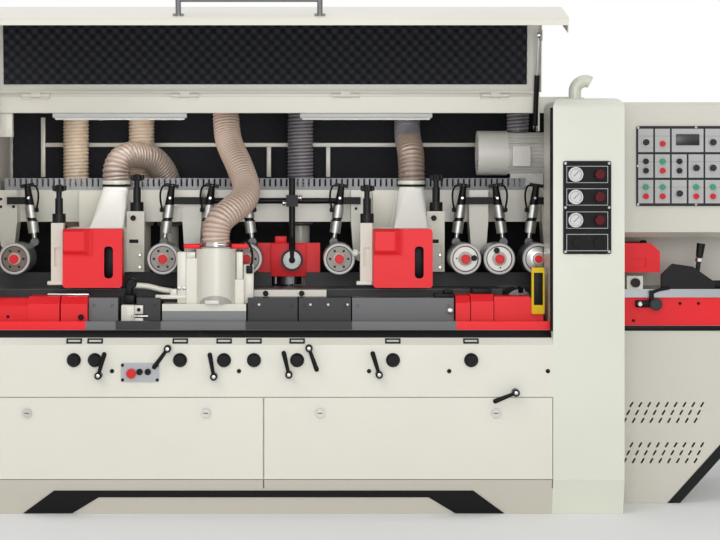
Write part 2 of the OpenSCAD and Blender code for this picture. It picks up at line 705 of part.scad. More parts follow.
// Top heads: slide on the beam, chip hood with its duct, pressure frames and screws
module top_head(k) color("#e8e5d8") translate([head_x[k], 0, 0]) {
    difference() {
        union() {
            box(-slide_w / 2, slide_w / 2, beam_y - 40, beam_y - clear, head_z - 90, beam_z + beam_h - 6);
            bar_y(0, head_z, fence_y + 15, beam_y - 40, 56);
        }
        bar_y(0, head_z, fence_y, beam_y - 60, spindle_d / 2 + fit);
    }
    difference() {
        box(-chip_x, chip_x, path_y + 4, fence_y + 15, head_z - 60, hood_z + hood_h);
        box(-chip_x + chip_wall, chip_x - chip_wall, path_y + 4 + chip_wall, fence_y + 15 - chip_wall,
            head_z - 61, hood_z + hood_h - chip_wall);
        bar_y(0, head_z, path_y, fence_y + 16, spindle_d / 2 + fit);
    }
    difference() {
        hull() {
            box(-28, hood_w / 2 - 10, path_y + 70, fence_y + 15, hood_z + hood_h, hood_z + hood_h + 2);
            translate([duct_dx, duct_y - 40, duct_z - 60]) cylinder(h = 2, r = hose_r - 4, $fn = 32);
            translate([duct_dx, duct_y, duct_z - 2]) cylinder(h = 2, r = hose_r - 4, $fn = 32);
        }
        translate([duct_dx, duct_y, duct_z - duct_bore]) cylinder(h = 70, r = outlet_r - 4);
    }
    translate([duct_dx, duct_y, duct_z]) difference() {
        union() {
            cylinder(h = 8, r = hose_r + 2);
            cylinder(h = collar_h, r = outlet_r);
        }
        translate([0, 0, -1]) cylinder(h = collar_h + 2, r = outlet_r - 4);
    }
    for (s = [-1, 1]) {
        y0 = s < 0 ? path_y - 70 : -40;
        x0 = s < 0 ? -180 : chip_x;
        x1 = s < 0 ? -hood_w / 2 - 2 : 198;
        z1 = s < 0 ? hood_z + hood_h + 24 : hood_z + hood_h + 70;
        difference() {
            box(x0, x1, y0, y0 + 70, hood_z + (s < 0 ? 10 : 55), z1);
            box(x0 + 14, x1 - 12, y0 - 1, y0 + 12, hood_z + 90, hood_z + 170);
        }
        screw_knob(s < 0 ? -150 : 163, y0 + 35, z1);
    }
    box(-180, -hood_w / 2 - 2, path_y - 1, path_y + 30, hood_z + 130, hood_z + 180);
    box(-180, -chip_x, path_y + 4, path_y + 30, hood_z + 130, hood_z + 180);
}
// Red hood: a shell with a recessed grip slot and a raised step at its upper left
module top_hood(k) color("#e2282d") translate([head_x[k], 0, 0]) difference() {
    union() {
        along_y(hood_y, path_y + 4 - clear) round_rect(-hood_w / 2, hood_w / 2, hood_z, hood_z + hood_h, 14);
        along_y(hood_y - 12, hood_y + 1)
            round_rect(-hood_w / 2 + 4, -4, hood_z + hood_h * 0.56, hood_z + hood_h - 4, 8);
    }
    along_y(hood_y + 5, path_y + 5)
        round_rect(-hood_w / 2 + 5, hood_w / 2 - 5, hood_z + 5, hood_z + hood_h - 5, 10);
    along_y(hood_y - 1, hood_y + 6)
        round_rect(hood_w / 2 - 76, hood_w / 2 - 38, hood_z + 40, hood_z + 176, 16);
}
module cutter_body(len) {
    difference() {
        rotate_extrude() polygon([[0, 0], [cutter_r - 4, 0], [cutter_r - 4, len], [0, len]]);
        for (a = [0:90:270]) rotate(a) translate([cutter_r - 20, -4, -1]) cube([30, 22, len + 2]);
    }
    for (a = [0:90:270]) rotate(a) translate([cutter_r - 22, 19, 2]) cube([21, 5, len - 4]);
}
module top_cutter(k) color("#a9adb2") translate([head_x[k], 0, head_z]) rotate([-90, 0, 0]) {
    translate([0, 0, path_y + 22]) cutter_body(cutter_len - 10);
    translate([0, 0, path_y - 70]) cylinder(h = beam_y - 62 - path_y + 70, r = spindle_d / 2);
}
module bottom_cutter() color("#a9adb2") translate([bottom_cutter_x, 0, table_z - cutter_r + 2])
    rotate([-90, 0, 0]) {
        translate([0, 0, path_y + 10]) cutter_body(cutter_len);
        translate([0, 0, path_y + 1]) cylinder(h = bed_rear_y - path_y + 30, r = spindle_d / 2);
    }
module fence_cutter() color("#a9adb2") translate([fence_cutter_x, fence_y + cutter_r + 5, 0]) {
    translate([0, 0, table_z + 6]) cutter_body(110);
    translate([0, 0, base_h + 20 + fit]) cylinder(h = table_z - base_h + 90, r = spindle_d / 2);
}
// Side head: tray, round hood with a window towards the timber, hose collar, clamp rail
side_r = 87;
side_y = path_y - side_r - 2;
side_tray_h = 102;
tray_z = base_h + side_tray_h;
side_top = table_z + 177;
module side_hood() color("#e3e0d0") {
    difference() {
        box(side_x - 225, side_x + 129, cover_y + 10, path_y - clear, base_h, tray_z);
        translate([side_x, side_y + 20, base_h + 20]) cylinder(h = side_tray_h, r = spindle_d / 2 + fit);
    }
    difference() {
        union() {
            translate([side_x, side_y, tray_z]) cylinder(h = side_top - tray_z, r = side_r);
            box(side_x - 125, side_x, side_y - 30, side_y - 10, tray_z, side_top - 40);
            box(side_x, side_x + 118, side_y - 30, side_y - 10, tray_z, side_top - 130);
        }
        translate([side_x, side_y, tray_z - 1])
            cylinder(h = side_top - tray_z - chip_wall + 1, r = side_r - chip_wall);
        box(side_x - 66, side_x + 66, side_y + 30, side_y + side_r + 1, tray_z + 20, side_top - 30);
        translate([side_x, side_y, side_top - 10]) cylinder(h = 20, r = outlet_r - 4);
    }
    translate([side_x, side_y, side_top]) difference() {
        union() {
            cylinder(h = 6, r = hose_r + 4);
            cylinder(h = collar_h, r = outlet_r);
        }
        translate([0, 0, -1]) cylinder(h = collar_h + 2, r = outlet_r - 4);
    }
    box(side_x + 136, side_x + 470, path_y - 34, path_y, base_h + cover_h - 6, table_z - 2);
}
module side_cutter() color("#a9adb2") translate([side_x, side_y + 20, 0]) {
    translate([0, 0, tray_z + 24]) cutter_body(110);
    translate([0, 0, base_h + 20 + fit]) cylinder(h = 260, r = spindle_d / 2);
}

// Hold-downs: black rod with its wheel over the fence cutter, and the infeed arm
wheel_r = 48;
wheel_z = table_z + 118;
wheel_y = -30;
rod_x = 116;
module hold_downs() color("#1d1d1f") {
    bar_x(post_y + 40, rail_z, post_x[1] + post_w / 2 + clear, post_x[2] - post_w / 2 - clear, 13);
    box(rod_x - 26, rod_x + 26, wheel_y - 28, post_y + 60, rail_z - 24, rail_z + 26);
    translate([rod_x, wheel_y, wheel_z]) cylinder(h = 360, r = 14);
    bar_y(rod_x, wheel_z, wheel_y - 30, wheel_y + 14, wheel_r);
    ya = infeed_y + 4;
    along_y(ya, ya + 46) polygon([[col_x1 + 214, table_z], [col_x1 + 214, table_z + 60],
        [col_x1 + 262, table_z + 108], [col_x1 + 346, table_z + 96], [col_x1 + 440, table_z + 30],
        [col_x1 + 440, table_z]]);
    translate([col_x1 + 368, ya + 23, table_z + 70]) rotate([0, 8, 0]) cylinder(h = 70, r = 10);
    translate([col_x1 + 377, ya + 23, table_z + 136]) rotate([0, 8, 0]) cylinder(h = 60, r1 = 15, r2 = 19);
    box(col_x1 + 60, col_x1 + 128, infeed_y - 8, infeed_y + 60, table_z, table_z + 56);
    bar_y(col_x1 + 94, table_z + 28, infeed_y - 30, infeed_y - 8, 20);
}
// Feed motor: fan cowl, finned body, terminal box and pedestal
motor_r = 96;
motor_y = 262;
motor_z = beam_z + beam_h + 167;
motor_x = 954;
fin_n = 30;
module feed_motor() color("#c3c6c6") {
    difference() {
        bar_x(motor_y, motor_z, motor_x, motor_x + 135, motor_r + 5);
        for (r = [26, 46, 66, 86]) bar_ring(r);
    }
    bar_x(motor_y, motor_z, motor_x + 134, motor_x + 330, motor_r - 14);
    for (i = [0:fin_n - 1]) translate([motor_x + 134, motor_y, motor_z]) rotate([i * 360 / fin_n, 0, 0])
        translate([0, -2, motor_r - 20]) cube([176, 4, 18]);
    bar_x(motor_y, motor_z, motor_x + 310, motor_x + 336, motor_r + 3);
    box(motor_x + 150, motor_x + 230, motor_y - motor_r - 26, motor_y - motor_r + 20,
        motor_z - 60, motor_z + 30);
    box(motor_x + 150, motor_x + 300, beam_y + duct_w + 2, beam_y + beam_d,
        beam_z + beam_h, motor_z - motor_r + 20);
}
module bar_ring(r) {
    translate([motor_x - 1, motor_y, motor_z]) rotate([0, 90, 0]) difference() {
        cylinder(h = 5, r = r + 5);
        translate([0, 0, -1]) cylinder(h = 7, r = r - 5);
    }
}

// Infeed stand with slanted vents, throat wall, control box and table
vent_rows = 3;
vent_cols = 9;
module vents(z0) for (r = [0:vent_rows - 1], c = [0:vent_cols - 1])
    translate([col_x1 + 46 + c * 38 + r * 14, infeed_y - 1, z0 + r * 34])
        rotate([0, 32, 0]) translate([-4, 0, 0]) cube([8, base_wall + 2, 24]);
module infeed_outline(d) {
    polygon([[x_right + clear + d, d], [col_x1 + infeed_foot - d, d], [infeed_x1 - d, infeed_slope_h + d / 2],
        [infeed_x1 - d, infeed_h - d], [x_right + clear + d, infeed_h - d]]);
}
module infeed_base() color("#e3e0d0") {
    difference() {
        along_y(infeed_y, y_rear) infeed_outline(0);
        along_y(infeed_y + panel_t, y_rear - panel_t) infeed_outline(panel_t);
        for (z = [345, 172]) vents(z);
    }
    difference() {
        box(chamber_x, infeed_x1, throat_y, y_rear, infeed_h + clear, box_z - clear);
        box(chamber_x + panel_t, infeed_x1 - panel_t, throat_y + panel_t, y_rear - panel_t,
            infeed_h + panel_t, box_z - panel_t);
    }
}
box_chamfer_h = 25;
box_chamfer_d = 60;
box_edge = 12;
module box_outline(d) {
    polygon([[infeed_y + box_chamfer_d + d, box_z + d], [y_rear - d, box_z + d], [y_rear - d, box_top - d],
        [infeed_y + box_edge + d, box_top - d], [infeed_y + d, box_top - box_edge - d],
        [infeed_y + d, box_z + box_chamfer_h + d]]);
}
module control_box() color("#dfe0d2") difference() {
    along_x(chamber_x, infeed_x1) box_outline(0);
    along_x(chamber_x + panel_t, infeed_x1 - panel_t) box_outline(panel_t);
}
function tile_x(c) = panel_mid_x + (c - (tile_cols - 1) / 2) * tile_pitch_x;
function tile_z(r) = panel_mid_z + (r - (tile_rows - 1) / 2) * tile_pitch_z;
// Buttons by row from the lowest, each a column and a height on its tile
panel_buttons = [[0, 0, 20], [0, 0, -20], [0, 1, 20], [0, 1, -20], [0, 3, 20], [0, 3, -20],
    [0, 4, 20], [0, 4, -20], [0, 6, 20], [0, 6, -20], [1, 0, 20], [1, 0, -20], [1, 1, 20],
    [1, 1, -20], [1, 2, 20], [1, 2, -20],
    [1, 5, 20], [1, 5, -20], [2, 1, -14], [2, 6, -14]];
button_y = infeed_y - panel_plate;
module control_panel() color("#2a2b2e") difference() {
    union() {
        along_y(button_y, infeed_y) round_rect(panel_mid_x - panel_w / 2, panel_mid_x + panel_w / 2,
            panel_mid_z - panel_h / 2, panel_mid_z + panel_h / 2, 6);
        for (c = [0:tile_cols - 1], r = [0:tile_rows - 1]) if (!(r == 2 && c == 3)) {
            w = r == 2 && c == 2 ? tile_w + tile_pitch_x : tile_w;
            box(tile_x(c) - tile_w / 2, tile_x(c) - tile_w / 2 + w, button_y - 2, button_y + 1,
                tile_z(r) - tile_h / 2, tile_z(r) + tile_h / 2);
        }
        for (p = [[0, 2], [0, 5], [1, 3], [1, 4], [1, 6], [2, 4], [2, 5], [2, 0]])
            bar_y(tile_x(p[1]), tile_z(p[0]) - 8, button_y - 18, button_y, 14);
    }
    for (b = panel_buttons)
        bar_y(tile_x(b[1]), tile_z(b[0]) + b[2], button_y - 3, infeed_y + 1, button_r + fit);
}
module push_button(x, y, z) {
    bar_y(x, z, y - button_h, y + button_in - 1, button_r);
}
module push_buttons() color("#c8372f") {
    for (b = panel_buttons) push_button(tile_x(b[1]), button_y, tile_z(b[0]) + b[2]);
    bar_y(stop_at[0], stop_at[1], y_front - 26, y_front + button_in - 1, button_r);
    bar_y(stop_at[0], stop_at[1], y_front - 36, y_front - 18, 20);
}
module infeed_table() color("#70757a") difference() {
    box(x_right + 4, infeed_x1 + infeed_over, infeed_y, throat_y - clear, table_z - infeed_table_t, table_z);
    for (y = [-150, -60])
        box(col_x1 + 20, infeed_x1 + infeed_over + 1, y - 5, y + 5, table_z - 6, table_z + 1);
}

// Lid, drawn closed about its hinge line and swung open to its rest
function lid_corner(d) =
    d < lid_r ? arc(-lid_top + lid_r, -lid_r, lid_r - d, 90, 180) : [[-lid_top + d, -d]];
function lid_path(d) = concat([[-14, -d]], lid_corner(d),
    [[-lid_top + d, -lid_front + d * tan(lid_slope / 2)],
    [-lid_top + lid_lip * sin(lid_slope) + d * cos(lid_slope),
        -lid_front - lid_lip * cos(lid_slope) + d * sin(lid_slope)]]);
function flip(p) = [for (i = [len(p) - 1:-1:0]) p[i]];
module lid_sheet(d0, d1) polygon(concat(lid_path(d0), flip(lid_path(d1))));
module lid_pose() translate([0, hinge_y, hinge_z]) rotate([-lid_open, 0, 0]) children();
// Frame on the sloping lip: x along the lid, y inwards, z up the lip from its edge
module on_lip() translate([0, -lid_top + lid_lip * sin(lid_slope), -lid_front - lid_lip * cos(lid_slope)])
    rotate([lid_slope, 0, 0]) children();
edge_lip = 30;
lip_x = spring_x - spring_tube_r - 10;
module lid_shell() color("#e3e0d0") lid_pose() {
    difference() {
        union() {
            along_x(-lid_half, lid_half) lid_sheet(0, lid_t);
            for (x = [-lid_half, lid_half - lid_t]) along_x(x, x + lid_t) lid_sheet(lid_t / 2, lid_flange);
            box(-lip_x, lip_x, -14 - lid_t, -14, -edge_lip, -lid_t / 2);
            on_lip() box(-lid_half + lid_t / 2, lid_half - lid_t / 2, lid_t / 2, edge_lip,
                lid_t / 2, lid_t * 1.5);
            for (x = hinge_x) {
                bar_x(0, 0, x - hinge_w / 2, x + hinge_w / 2, hinge_r);
                box(x - hinge_w / 2, x + hinge_w / 2, -20, 0, -9, -1);
            }
        }
        for (x = hinge_x) bar_x(0, 0, x - hinge_w, x + hinge_w, hinge_pin_r + fit);
    }
    for (s = [-1, 1]) {
        x1 = s * (lid_half - lid_t);
        x2 = s * (spring_x + 6);
        bar_x(lid_pin[0], lid_pin[1], min(x1, x2), max(x1, x2), spring_pin_r);
        box(min(x1, x1 - s * 3), max(x1, x1 - s * 3), lid_pin[0] - 24, lid_pin[0] + 24,
            lid_pin[1] - 20, -lid_t - clear);
    }
}
module lid_foam() color("#26272a") lid_pose() {
    box(-lid_half + lid_flange, lid_half - lid_flange, -lid_top + lid_r + 10, -14 - lid_t - edge_lip,
        -lid_t - foam_t, -lid_t);
    box(-lid_half + lid_flange, lid_half - lid_flange, -lid_top + lid_t, -lid_top + lid_t + foam_t,
        -lid_front + 30, -lid_r - 40);
}
handle_up = 56;
handle_dx = -48;
module lid_handle() color("#d9dbdd") lid_pose() on_lip() for (s = [-1, 1]) {
    x = handle_dx + s * (handle_len / 2 - handle_d / 2);
    translate([x, 0, handle_up]) rotate([90, 0, 0]) {
        cylinder(h = handle_h - handle_d / 2, r = handle_d / 2);
        cylinder(h = 6, r = handle_d);
        translate([0, 0, handle_h - handle_d / 2]) sphere(r = handle_d / 2);
    }
    translate([0, -handle_h + handle_d / 2, handle_up])
        if (s > 0) bar_x(0, 0, handle_dx - handle_len / 2 + handle_d / 2, x, handle_d / 2);
}
// Gas springs: tubes turn on the cabinet's pins, rods reach for the lid's pins
lid_pin_open = [lid_pin[0] * cos(lid_open) + lid_pin[1] * sin(lid_open),
    -lid_pin[0] * sin(lid_open) + lid_pin[1] * cos(lid_open)];
spring_dir = [lid_pin_open[0] - spring_y, lid_pin_open[1] - spring_z];
spring_len = norm(spring_dir);
spring_turn = atan2(-spring_dir[0], spring_dir[1]);
module on_spring(s) translate([s * spring_x, hinge_y + spring_y, hinge_z + spring_z])
    rotate([spring_turn, 0, 0]) children();
module gas_spring_tubes() color("#1c1c1e") for (s = [-1, 1]) on_spring(s) difference() {
    union() {
        rotate([0, 90, 0]) translate([0, 0, -6]) cylinder(h = 12, r = 13);
        translate([0, 0, 8]) cylinder(h = spring_tube_l - 8, r = spring_tube_r);
    }
    rotate([0, 90, 0]) translate([0, 0, -8]) cylinder(h = 16, r = spring_pin_r + fit);
    translate([0, 0, 60]) cylinder(h = spring_tube_l, r = spring_rod_r + fit);
}
module gas_spring_rods() color("#c9ccd0") for (s = [-1, 1]) on_spring(s) {
    translate([0, 0, spring_tube_l - 30]) cylinder(h = spring_len - spring_tube_l + 30, r = spring_rod_r);
    translate([-6 * s, 0, spring_len]) rotate([0, 90, 0])
        translate([0, 0, s < 0 ? -11 : 0]) cylinder(h = 11, r = 12);
}

// Ribbed hose: rings of alternating radius swept along a smooth route, with a bore
function smooth(p, i, t) = let (n = len(p) - 1, b = p[i], c = p[i + 1],
    a = i > 0 ? p[i - 1] : 2 * b - c, d = i + 1 < n ? p[i + 2] : 2 * c - b)
    0.5 * (2 * b + (c - a) * t + (2 * a - 5 * b + 4 * c - d) * t * t + (3 * b - a - 3 * c + d) * t * t * t);
function route_point(p, s) = let (i = min(floor(s), len(p) - 2)) smooth(p, i, s - i);
function route_len(p) = let (q = [for (s = [0:0.1:len(p) - 1]) route_point(p, s)])
    total([for (i = [0:len(q) - 2]) norm(q[i + 1] - q[i])]);
function total(v) = v * [for (x = v) 1];
function unit(v) = v / norm(v);
// Ring of points square to the route, its first side kept level so that the hose doesn't twist
route_step = 0.002;
function route_dir(p, s) =
    unit(route_point(p, min(s + route_step, len(p) - 1)) - route_point(p, max(s - route_step, 0)));
function ring(p, s, r) = let (d = route_dir(p, s),
    u = unit(cross(d, [0.31, -0.95, 0.05])), v = cross(d, u), c = route_point(p, s))
    [for (k = [0:hose_sides - 1]) c + r * (cos(k * 360 / hose_sides) * u + sin(k * 360 / hose_sides) * v)];
function ring_faces(a, b) = [for (k = [0:hose_sides - 1], f = [0, 1]) let (k2 = (k + 1) % hose_sides)
    f == 0 ? [a + k, b + k2, a + k2] : [a + k, b + k, b + k2]];
module ribbed_hose(p) {
    ribs = round(route_len(p) / hose_pitch);
    outer = 2 * ribs;
    bore = floor(ribs / 3);
    span = len(p) - 1;
    pts = concat([for (i = [0:outer]) each ring(p, span * i / outer, hose_r - (i % 2 == 1 ? 0 : hose_rib))],
        [for (i = [0:bore]) each ring(p, span * i / bore, hose_bore_r)]);
    first = (outer + 1) * hose_sides;
    last = first + bore * hose_sides;
    faces = concat([for (i = [0:outer - 1]) each ring_faces(i * hose_sides, (i + 1) * hose_sides)],
        [for (i = [0:bore - 1])
            each flip_faces(ring_faces(first + i * hose_sides, first + (i + 1) * hose_sides))],
        flip_faces(ring_faces(0, first)), ring_faces(outer * hose_sides, last));
    polyhedron(pts, faces);
}
function flip_faces(f) = [for (t = f) [t[0], t[2], t[1]]];
module extraction_hoses() color("#b59f86") {
    branch_top = stub_z - clear;
    for (x = branch_x)
        ribbed_hose([for (t = [0:3]) [x, branch_y, branch_top + (branch_z0 - branch_top) * t / 3]]);
    ribbed_hose(side_route);
}
module head_hose_left() color("#b59f86") ribbed_hose(left_route);
module head_hose_right() color("#b59f86") ribbed_hose(right_route);

base_cabinet();
base_skirt();
service_doors();
bed_casting();
bed_covers();
column_cover();
gauge_panel();
rear_cabinet();
roller_beam();
cable_duct();
infeed_base();
control_box();
control_panel();
push_buttons();
infeed_table();
hold_downs();
feed_motor();
lid_shell();
lid_foam();
lid_handle();
gas_spring_tubes();
gas_spring_rods();
top_head(0);  // top_head_left
top_head(1);  // top_head_right
top_hood(0);  // top_hood_left
top_hood(1);  // top_hood_right
top_cutter(0);  // top_cutter_left
top_cutter(1);  // top_cutter_right
bottom_cutter();
fence_cutter();
side_cutter();
side_hood();
extraction_hoses();
head_hose_left();
head_hose_right();
front_knobs();
press_cylinders();
for (k = [1:7]) clamp_lever(k - 1);
for (k = [1:8]) feed_roller(k - 1);
for (k = [1:8]) roller_hanger(k - 1);
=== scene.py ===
"""Looks of a four sided moulder: finishes for the solid parts, and the hoses, sound
foam, lamps, dials, caps and trim that are worked out here as surfaces."""
import math

import bmesh
import bpy
import numpy as np
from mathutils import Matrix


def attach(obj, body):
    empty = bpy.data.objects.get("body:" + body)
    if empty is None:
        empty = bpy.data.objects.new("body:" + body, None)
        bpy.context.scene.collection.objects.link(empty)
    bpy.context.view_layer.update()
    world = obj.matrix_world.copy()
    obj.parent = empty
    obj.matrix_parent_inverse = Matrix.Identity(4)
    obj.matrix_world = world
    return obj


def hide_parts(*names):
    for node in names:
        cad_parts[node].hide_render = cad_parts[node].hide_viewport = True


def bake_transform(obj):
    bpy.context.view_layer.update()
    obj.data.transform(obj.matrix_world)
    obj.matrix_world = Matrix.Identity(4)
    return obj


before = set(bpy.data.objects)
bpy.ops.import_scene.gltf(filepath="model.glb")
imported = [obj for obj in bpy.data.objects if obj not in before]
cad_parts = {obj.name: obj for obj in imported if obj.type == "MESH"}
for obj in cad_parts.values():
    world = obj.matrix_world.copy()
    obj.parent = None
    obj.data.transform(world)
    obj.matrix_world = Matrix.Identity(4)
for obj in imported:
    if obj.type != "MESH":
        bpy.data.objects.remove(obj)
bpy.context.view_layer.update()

bl_info = {
    "name": "Four sided moulder",
    "version": (1, 0, 0),
    "blender": (4, 5, 0),
    "location": "View3D > Sidebar > Moulder",
    "description": "Dresses the moulder's solid parts and makes its soft and small pieces",
    "category": "Object",
}

MM = 0.001
TAU = 2.0 * math.pi
FORWARD, SIDE, UP = (0, -1, 0), (1, 0, 0), (0, 0, 1)

# Places on the solid parts, in metres
HINGE = np.array([0.0, -0.118, 1.758])
LID_OPEN = math.radians(85.5)
HEADS = {"left": -0.731, "right": 0.588}
ROLLER_X = [-1.08, -0.44, -0.26, -0.08, 0.32, 0.864, 1.01, 1.178]
ROLLER_Y, ROLLER_Z = -0.215, 1.049
PRESS_DX = [0.056, -0.012, -0.014, 0.02, -0.02, -0.022, 0.042, -0.014]
PRESS_LEAN = [1, -1, -1, 1, -1, -1, 1, -1]
LEAN = math.radians(8.0)
LEVERS = [(-0.682, 0.581), (-0.396, 0.692), (-0.205, 0.577), (0.105, 0.585), (0.188, 0.694),
          (0.478, 0.585), (1.042, 0.511)]
CAP_X = (-0.786, -0.699, -0.346, -0.164, -0.04, 0.139, 0.536, 0.86)
HOOD_X, HOOD_Y, TRAY_TOP = -0.206, -0.319, 0.8652
WHEEL_X, WHEEL_Z = 0.116, 1.038
GAUGE_X, GAUGE_Y, GAUGE_Z = 1.291, -0.568, (1.412, 1.319, 1.223)
PANEL_X, PANEL_Z, TILE_W, TILE_H, TILE_FOOT = 1.852, 1.449, 0.072, 0.11, 1.284
LAMPS = ((-0.93, -0.344), (0.151, 0.729))
HOSE_TOP, HOSE_FOOT = 1745.6, 1180  # mm, as the hoses' routes

# Planes just in front of the solid parts, where screws and plates stand
COVER_FACE, APRON_FACE, BEAM_FACE = -0.3702, -0.2242, 0.0758
PANEL_FACE, PANEL_RIM, GAUGE_RIM, GAUGE_FACE = -0.2402, -0.2382, -0.5562, -0.5564
HEAD_FACE, BASE_TOP, KICK_TOP = -0.04, 0.7634, 0.1455


# Sizes and colours that a user would change

def size(name, text, default, low, high):
    """A length in metres as a property."""
    return bpy.props.FloatProperty(name=name, description=text, default=default, min=low, max=high,
                                   unit="LENGTH", precision=4)


def colour(name, text, default):
    """A linear colour as a property."""
    return bpy.props.FloatVectorProperty(name=name, description=text, default=default, size=3,
                                         subtype="COLOR", min=0.0, max=1.0)


class MoulderSizes(bpy.types.PropertyGroup):
    """Sizes of the pieces that are made here."""
    hose_pitch: size("Hose pitch", "Spacing of the hose's spiral ribs", 0.016, 0.008, 0.03)
    hose_r: size("Hose radius", "Outer radius of the ribs", 0.06, 0.04, 0.08)
    hose_rib: size("Rib depth", "Depth of the ribs", 0.005, 0.002, 0.008)
    foam_pitch: size("Foam pitch", "Spacing of the foam's peaks", 0.05, 0.02, 0.1)
    foam_depth: size("Foam depth", "Height of the foam's peaks", 0.024, 0.005, 0.03)
    lining_pitch: size("Lining pitch", "Spacing of the lining's diagonal ridges", 0.06, 0.02, 0.2)


class MoulderColours(bpy.types.PropertyGroup):
    """Colours of the finishes, as linear values."""
    cream: colour("Cream", "Paint of cabinet, heads and lid", (0.76, 0.735, 0.64))
    column: colour("Column", "Paint of the column", (0.735, 0.745, 0.635))
    red: colour("Red", "Paint of hoods and covers", (0.88, 0.024, 0.032))
    black: colour("Black", "Black paint and plastic", (0.007, 0.007, 0.008))
    grey: colour("Grey", "Bed casting and fence", (0.03, 0.031, 0.034))
    silver: colour("Silver", "Press cylinders", (0.56, 0.56, 0.54))
    hose: colour("Hose", "Wall of the hoses", (0.97, 0.67, 0.5))
    foam: colour("Foam", "Sound foam", (0.011, 0.012, 0.016))


def colours():
    """The scene's colour properties, as plain tuples."""
    group = bpy.context.scene.moulder_colours
    return {key: tuple(getattr(group, key)) for key in MoulderColours.__annotations__}


def times(base, by):
    """A colour times one number, or times three."""
    return tuple(np.multiply(base, by).tolist())


# Shader maths

class Value:
    """A node socket that can be used in Python expressions; each step adds a Math node."""

    def __init__(self, finish, socket):
        self.finish, self.socket = finish, socket

    def math(self, operation, a, b=0.0):
        return self.finish.node("ShaderNodeMath", {"operation": operation}, {0: a, 1: b})

    def __add__(self, other): return self.math("ADD", self, other)
    def __sub__(self, other): return self.math("SUBTRACT", self, other)
    def __rsub__(self, other): return self.math("SUBTRACT", other, self)
    def __mul__(self, other): return self.math("MULTIPLY", self, other)
    def __truediv__(self, other): return self.math("DIVIDE", self, other)
    def __gt__(self, other): return self.math("GREATER_THAN", self, other)
    def __lt__(self, other): return self.math("LESS_THAN", self, other)
    def between(self, low, high): return (self > low) * (self < high)
    def power(self, n): return self.math("POWER", self, n)
    def fraction(self): return self.math("FRACT", self)


class Finish:
    """A material under construction: a base colour with layers put over it by masks."""

    def __init__(self, name, base, rough=0.4, metallic=0.0, gloss=0.5, **shader):
        self.material = bpy.data.materials.new(name)
        self.material.use_nodes = True
        self.tree = self.material.node_tree
        self.shader = self.tree.nodes["Principled BSDF"]
        self.shader.inputs["Specular IOR Level"].default_value = gloss
        for socket, value in shader.items():
            self.shader.inputs[socket.replace("_", " ").title()].default_value = value
        self.colour, self.rough, self.metallic = tuple(base), rough, metallic
        self.place = self.node("ShaderNodeTexCoord", out="Object")
        split = self.node("ShaderNodeSeparateXYZ", {}, {0: self.place})
        self.x, self.y, self.z = (Value(self, split.socket.node.outputs[i]) for i in range(3))

    def node(self, kind, settings=None, inputs=None, out=0):
        """Adds a node of a kind, sets its settings, then its sockets, and returns one output."""
        made = self.tree.nodes.new(kind)
        for key, value in (settings or {}).items():
            setattr(made, key, value)
        for key, value in (inputs or {}).items():
            if isinstance(value, Value):
                self.tree.links.new(value.socket, made.inputs[key])
            else:
                three = isinstance(value, tuple) and len(value) == 3 and made.inputs[key].type == "RGBA"
                made.inputs[key].default_value = (*value, 1.0) if three else value
        return Value(self, made.outputs[out])

    def noise(self, scale, detail=2.0, stretch=None):
        """Noise from 0 to 1 on Object coordinates, stretched along an axis where asked."""
        place = self.place
        if stretch:
            place = self.node("ShaderNodeMapping", {}, {"Vector": place, "Scale": stretch})
        return self.node("ShaderNodeTexNoise", {}, {"Vector": place, "Scale": scale, "Detail": detail}, "Fac")

    def about(self, x, z):
        """Square of the distance from a line along y."""
        return (self.x - x).power(2.0) + (self.z - z).power(2.0)

    def rib(self):
        """How high a point is on a rib or a peak, from the mesh's attribute."""
        return self.node("ShaderNodeAttribute", {"attribute_name": "rib"}, out="Fac")

    def mix(self, mask, a, b):
        """Colour a where the mask is 0, colour b where it is 1."""
        return self.node("ShaderNodeMix", {"data_type": "RGBA"}, {0: mask, 6: a, 7: b}, 2)

    def layer(self, mask, colour=None, rough=None, metallic=None):
        """Puts a colour, roughness or metal value where the mask is 1."""
        if colour is not None:
            self.colour = self.mix(mask, self.colour, tuple(colour))
        if rough is not None:
            self.rough = mask * rough + (1.0 - mask) * self.rough
        if metallic is not None:
            self.metallic = mask * metallic + (1.0 - mask) * self.metallic

    def vary(self, scale, amount, rough=0.0):
        """Lets colour go darker and lighter in soft patches, and roughness with it."""
        patch = self.noise(scale, 3.0)
        self.colour = self.mix(patch * (2.0 * amount), self.colour, (0.0, 0.0, 0.0))
        if rough:
            self.rough = patch * rough + (-0.5 * rough) + self.rough

    def done(self, height=None, distance=0.0003, strength=0.5):
        """Links what was built into the shader and returns the material."""
        for socket, value in (("Base Color", self.colour), ("Roughness", self.rough), ("Metallic", self.metallic)):
            if isinstance(value, Value):
                self.tree.links.new(value.socket, self.shader.inputs[socket])
            else:
                self.shader.inputs[socket].default_value = (*value, 1.0) if isinstance(value, tuple) else value
        if height is not None:
            bump = self.node("ShaderNodeBump", {},
                             {"Strength": strength, "Distance": distance, "Height": height}, "Normal")
            self.tree.links.new(bump.socket, self.shader.inputs["Normal"])
        return self.material


def paint(name, base, rough=0.33, layers=None, coat=0.25, gloss=0.5):
    """Powder coat: a fine orange-peel bump, soft patches, and layers by place."""
    f = Finish(name, base, rough, gloss=gloss, coat_weight=coat, coat_roughness=0.15)
    f.vary(2.3, 0.05, 0.1)
    if layers:
        layers(f)
    return f.done(f.noise(330.0, 1.0), 0.00025, 0.35)


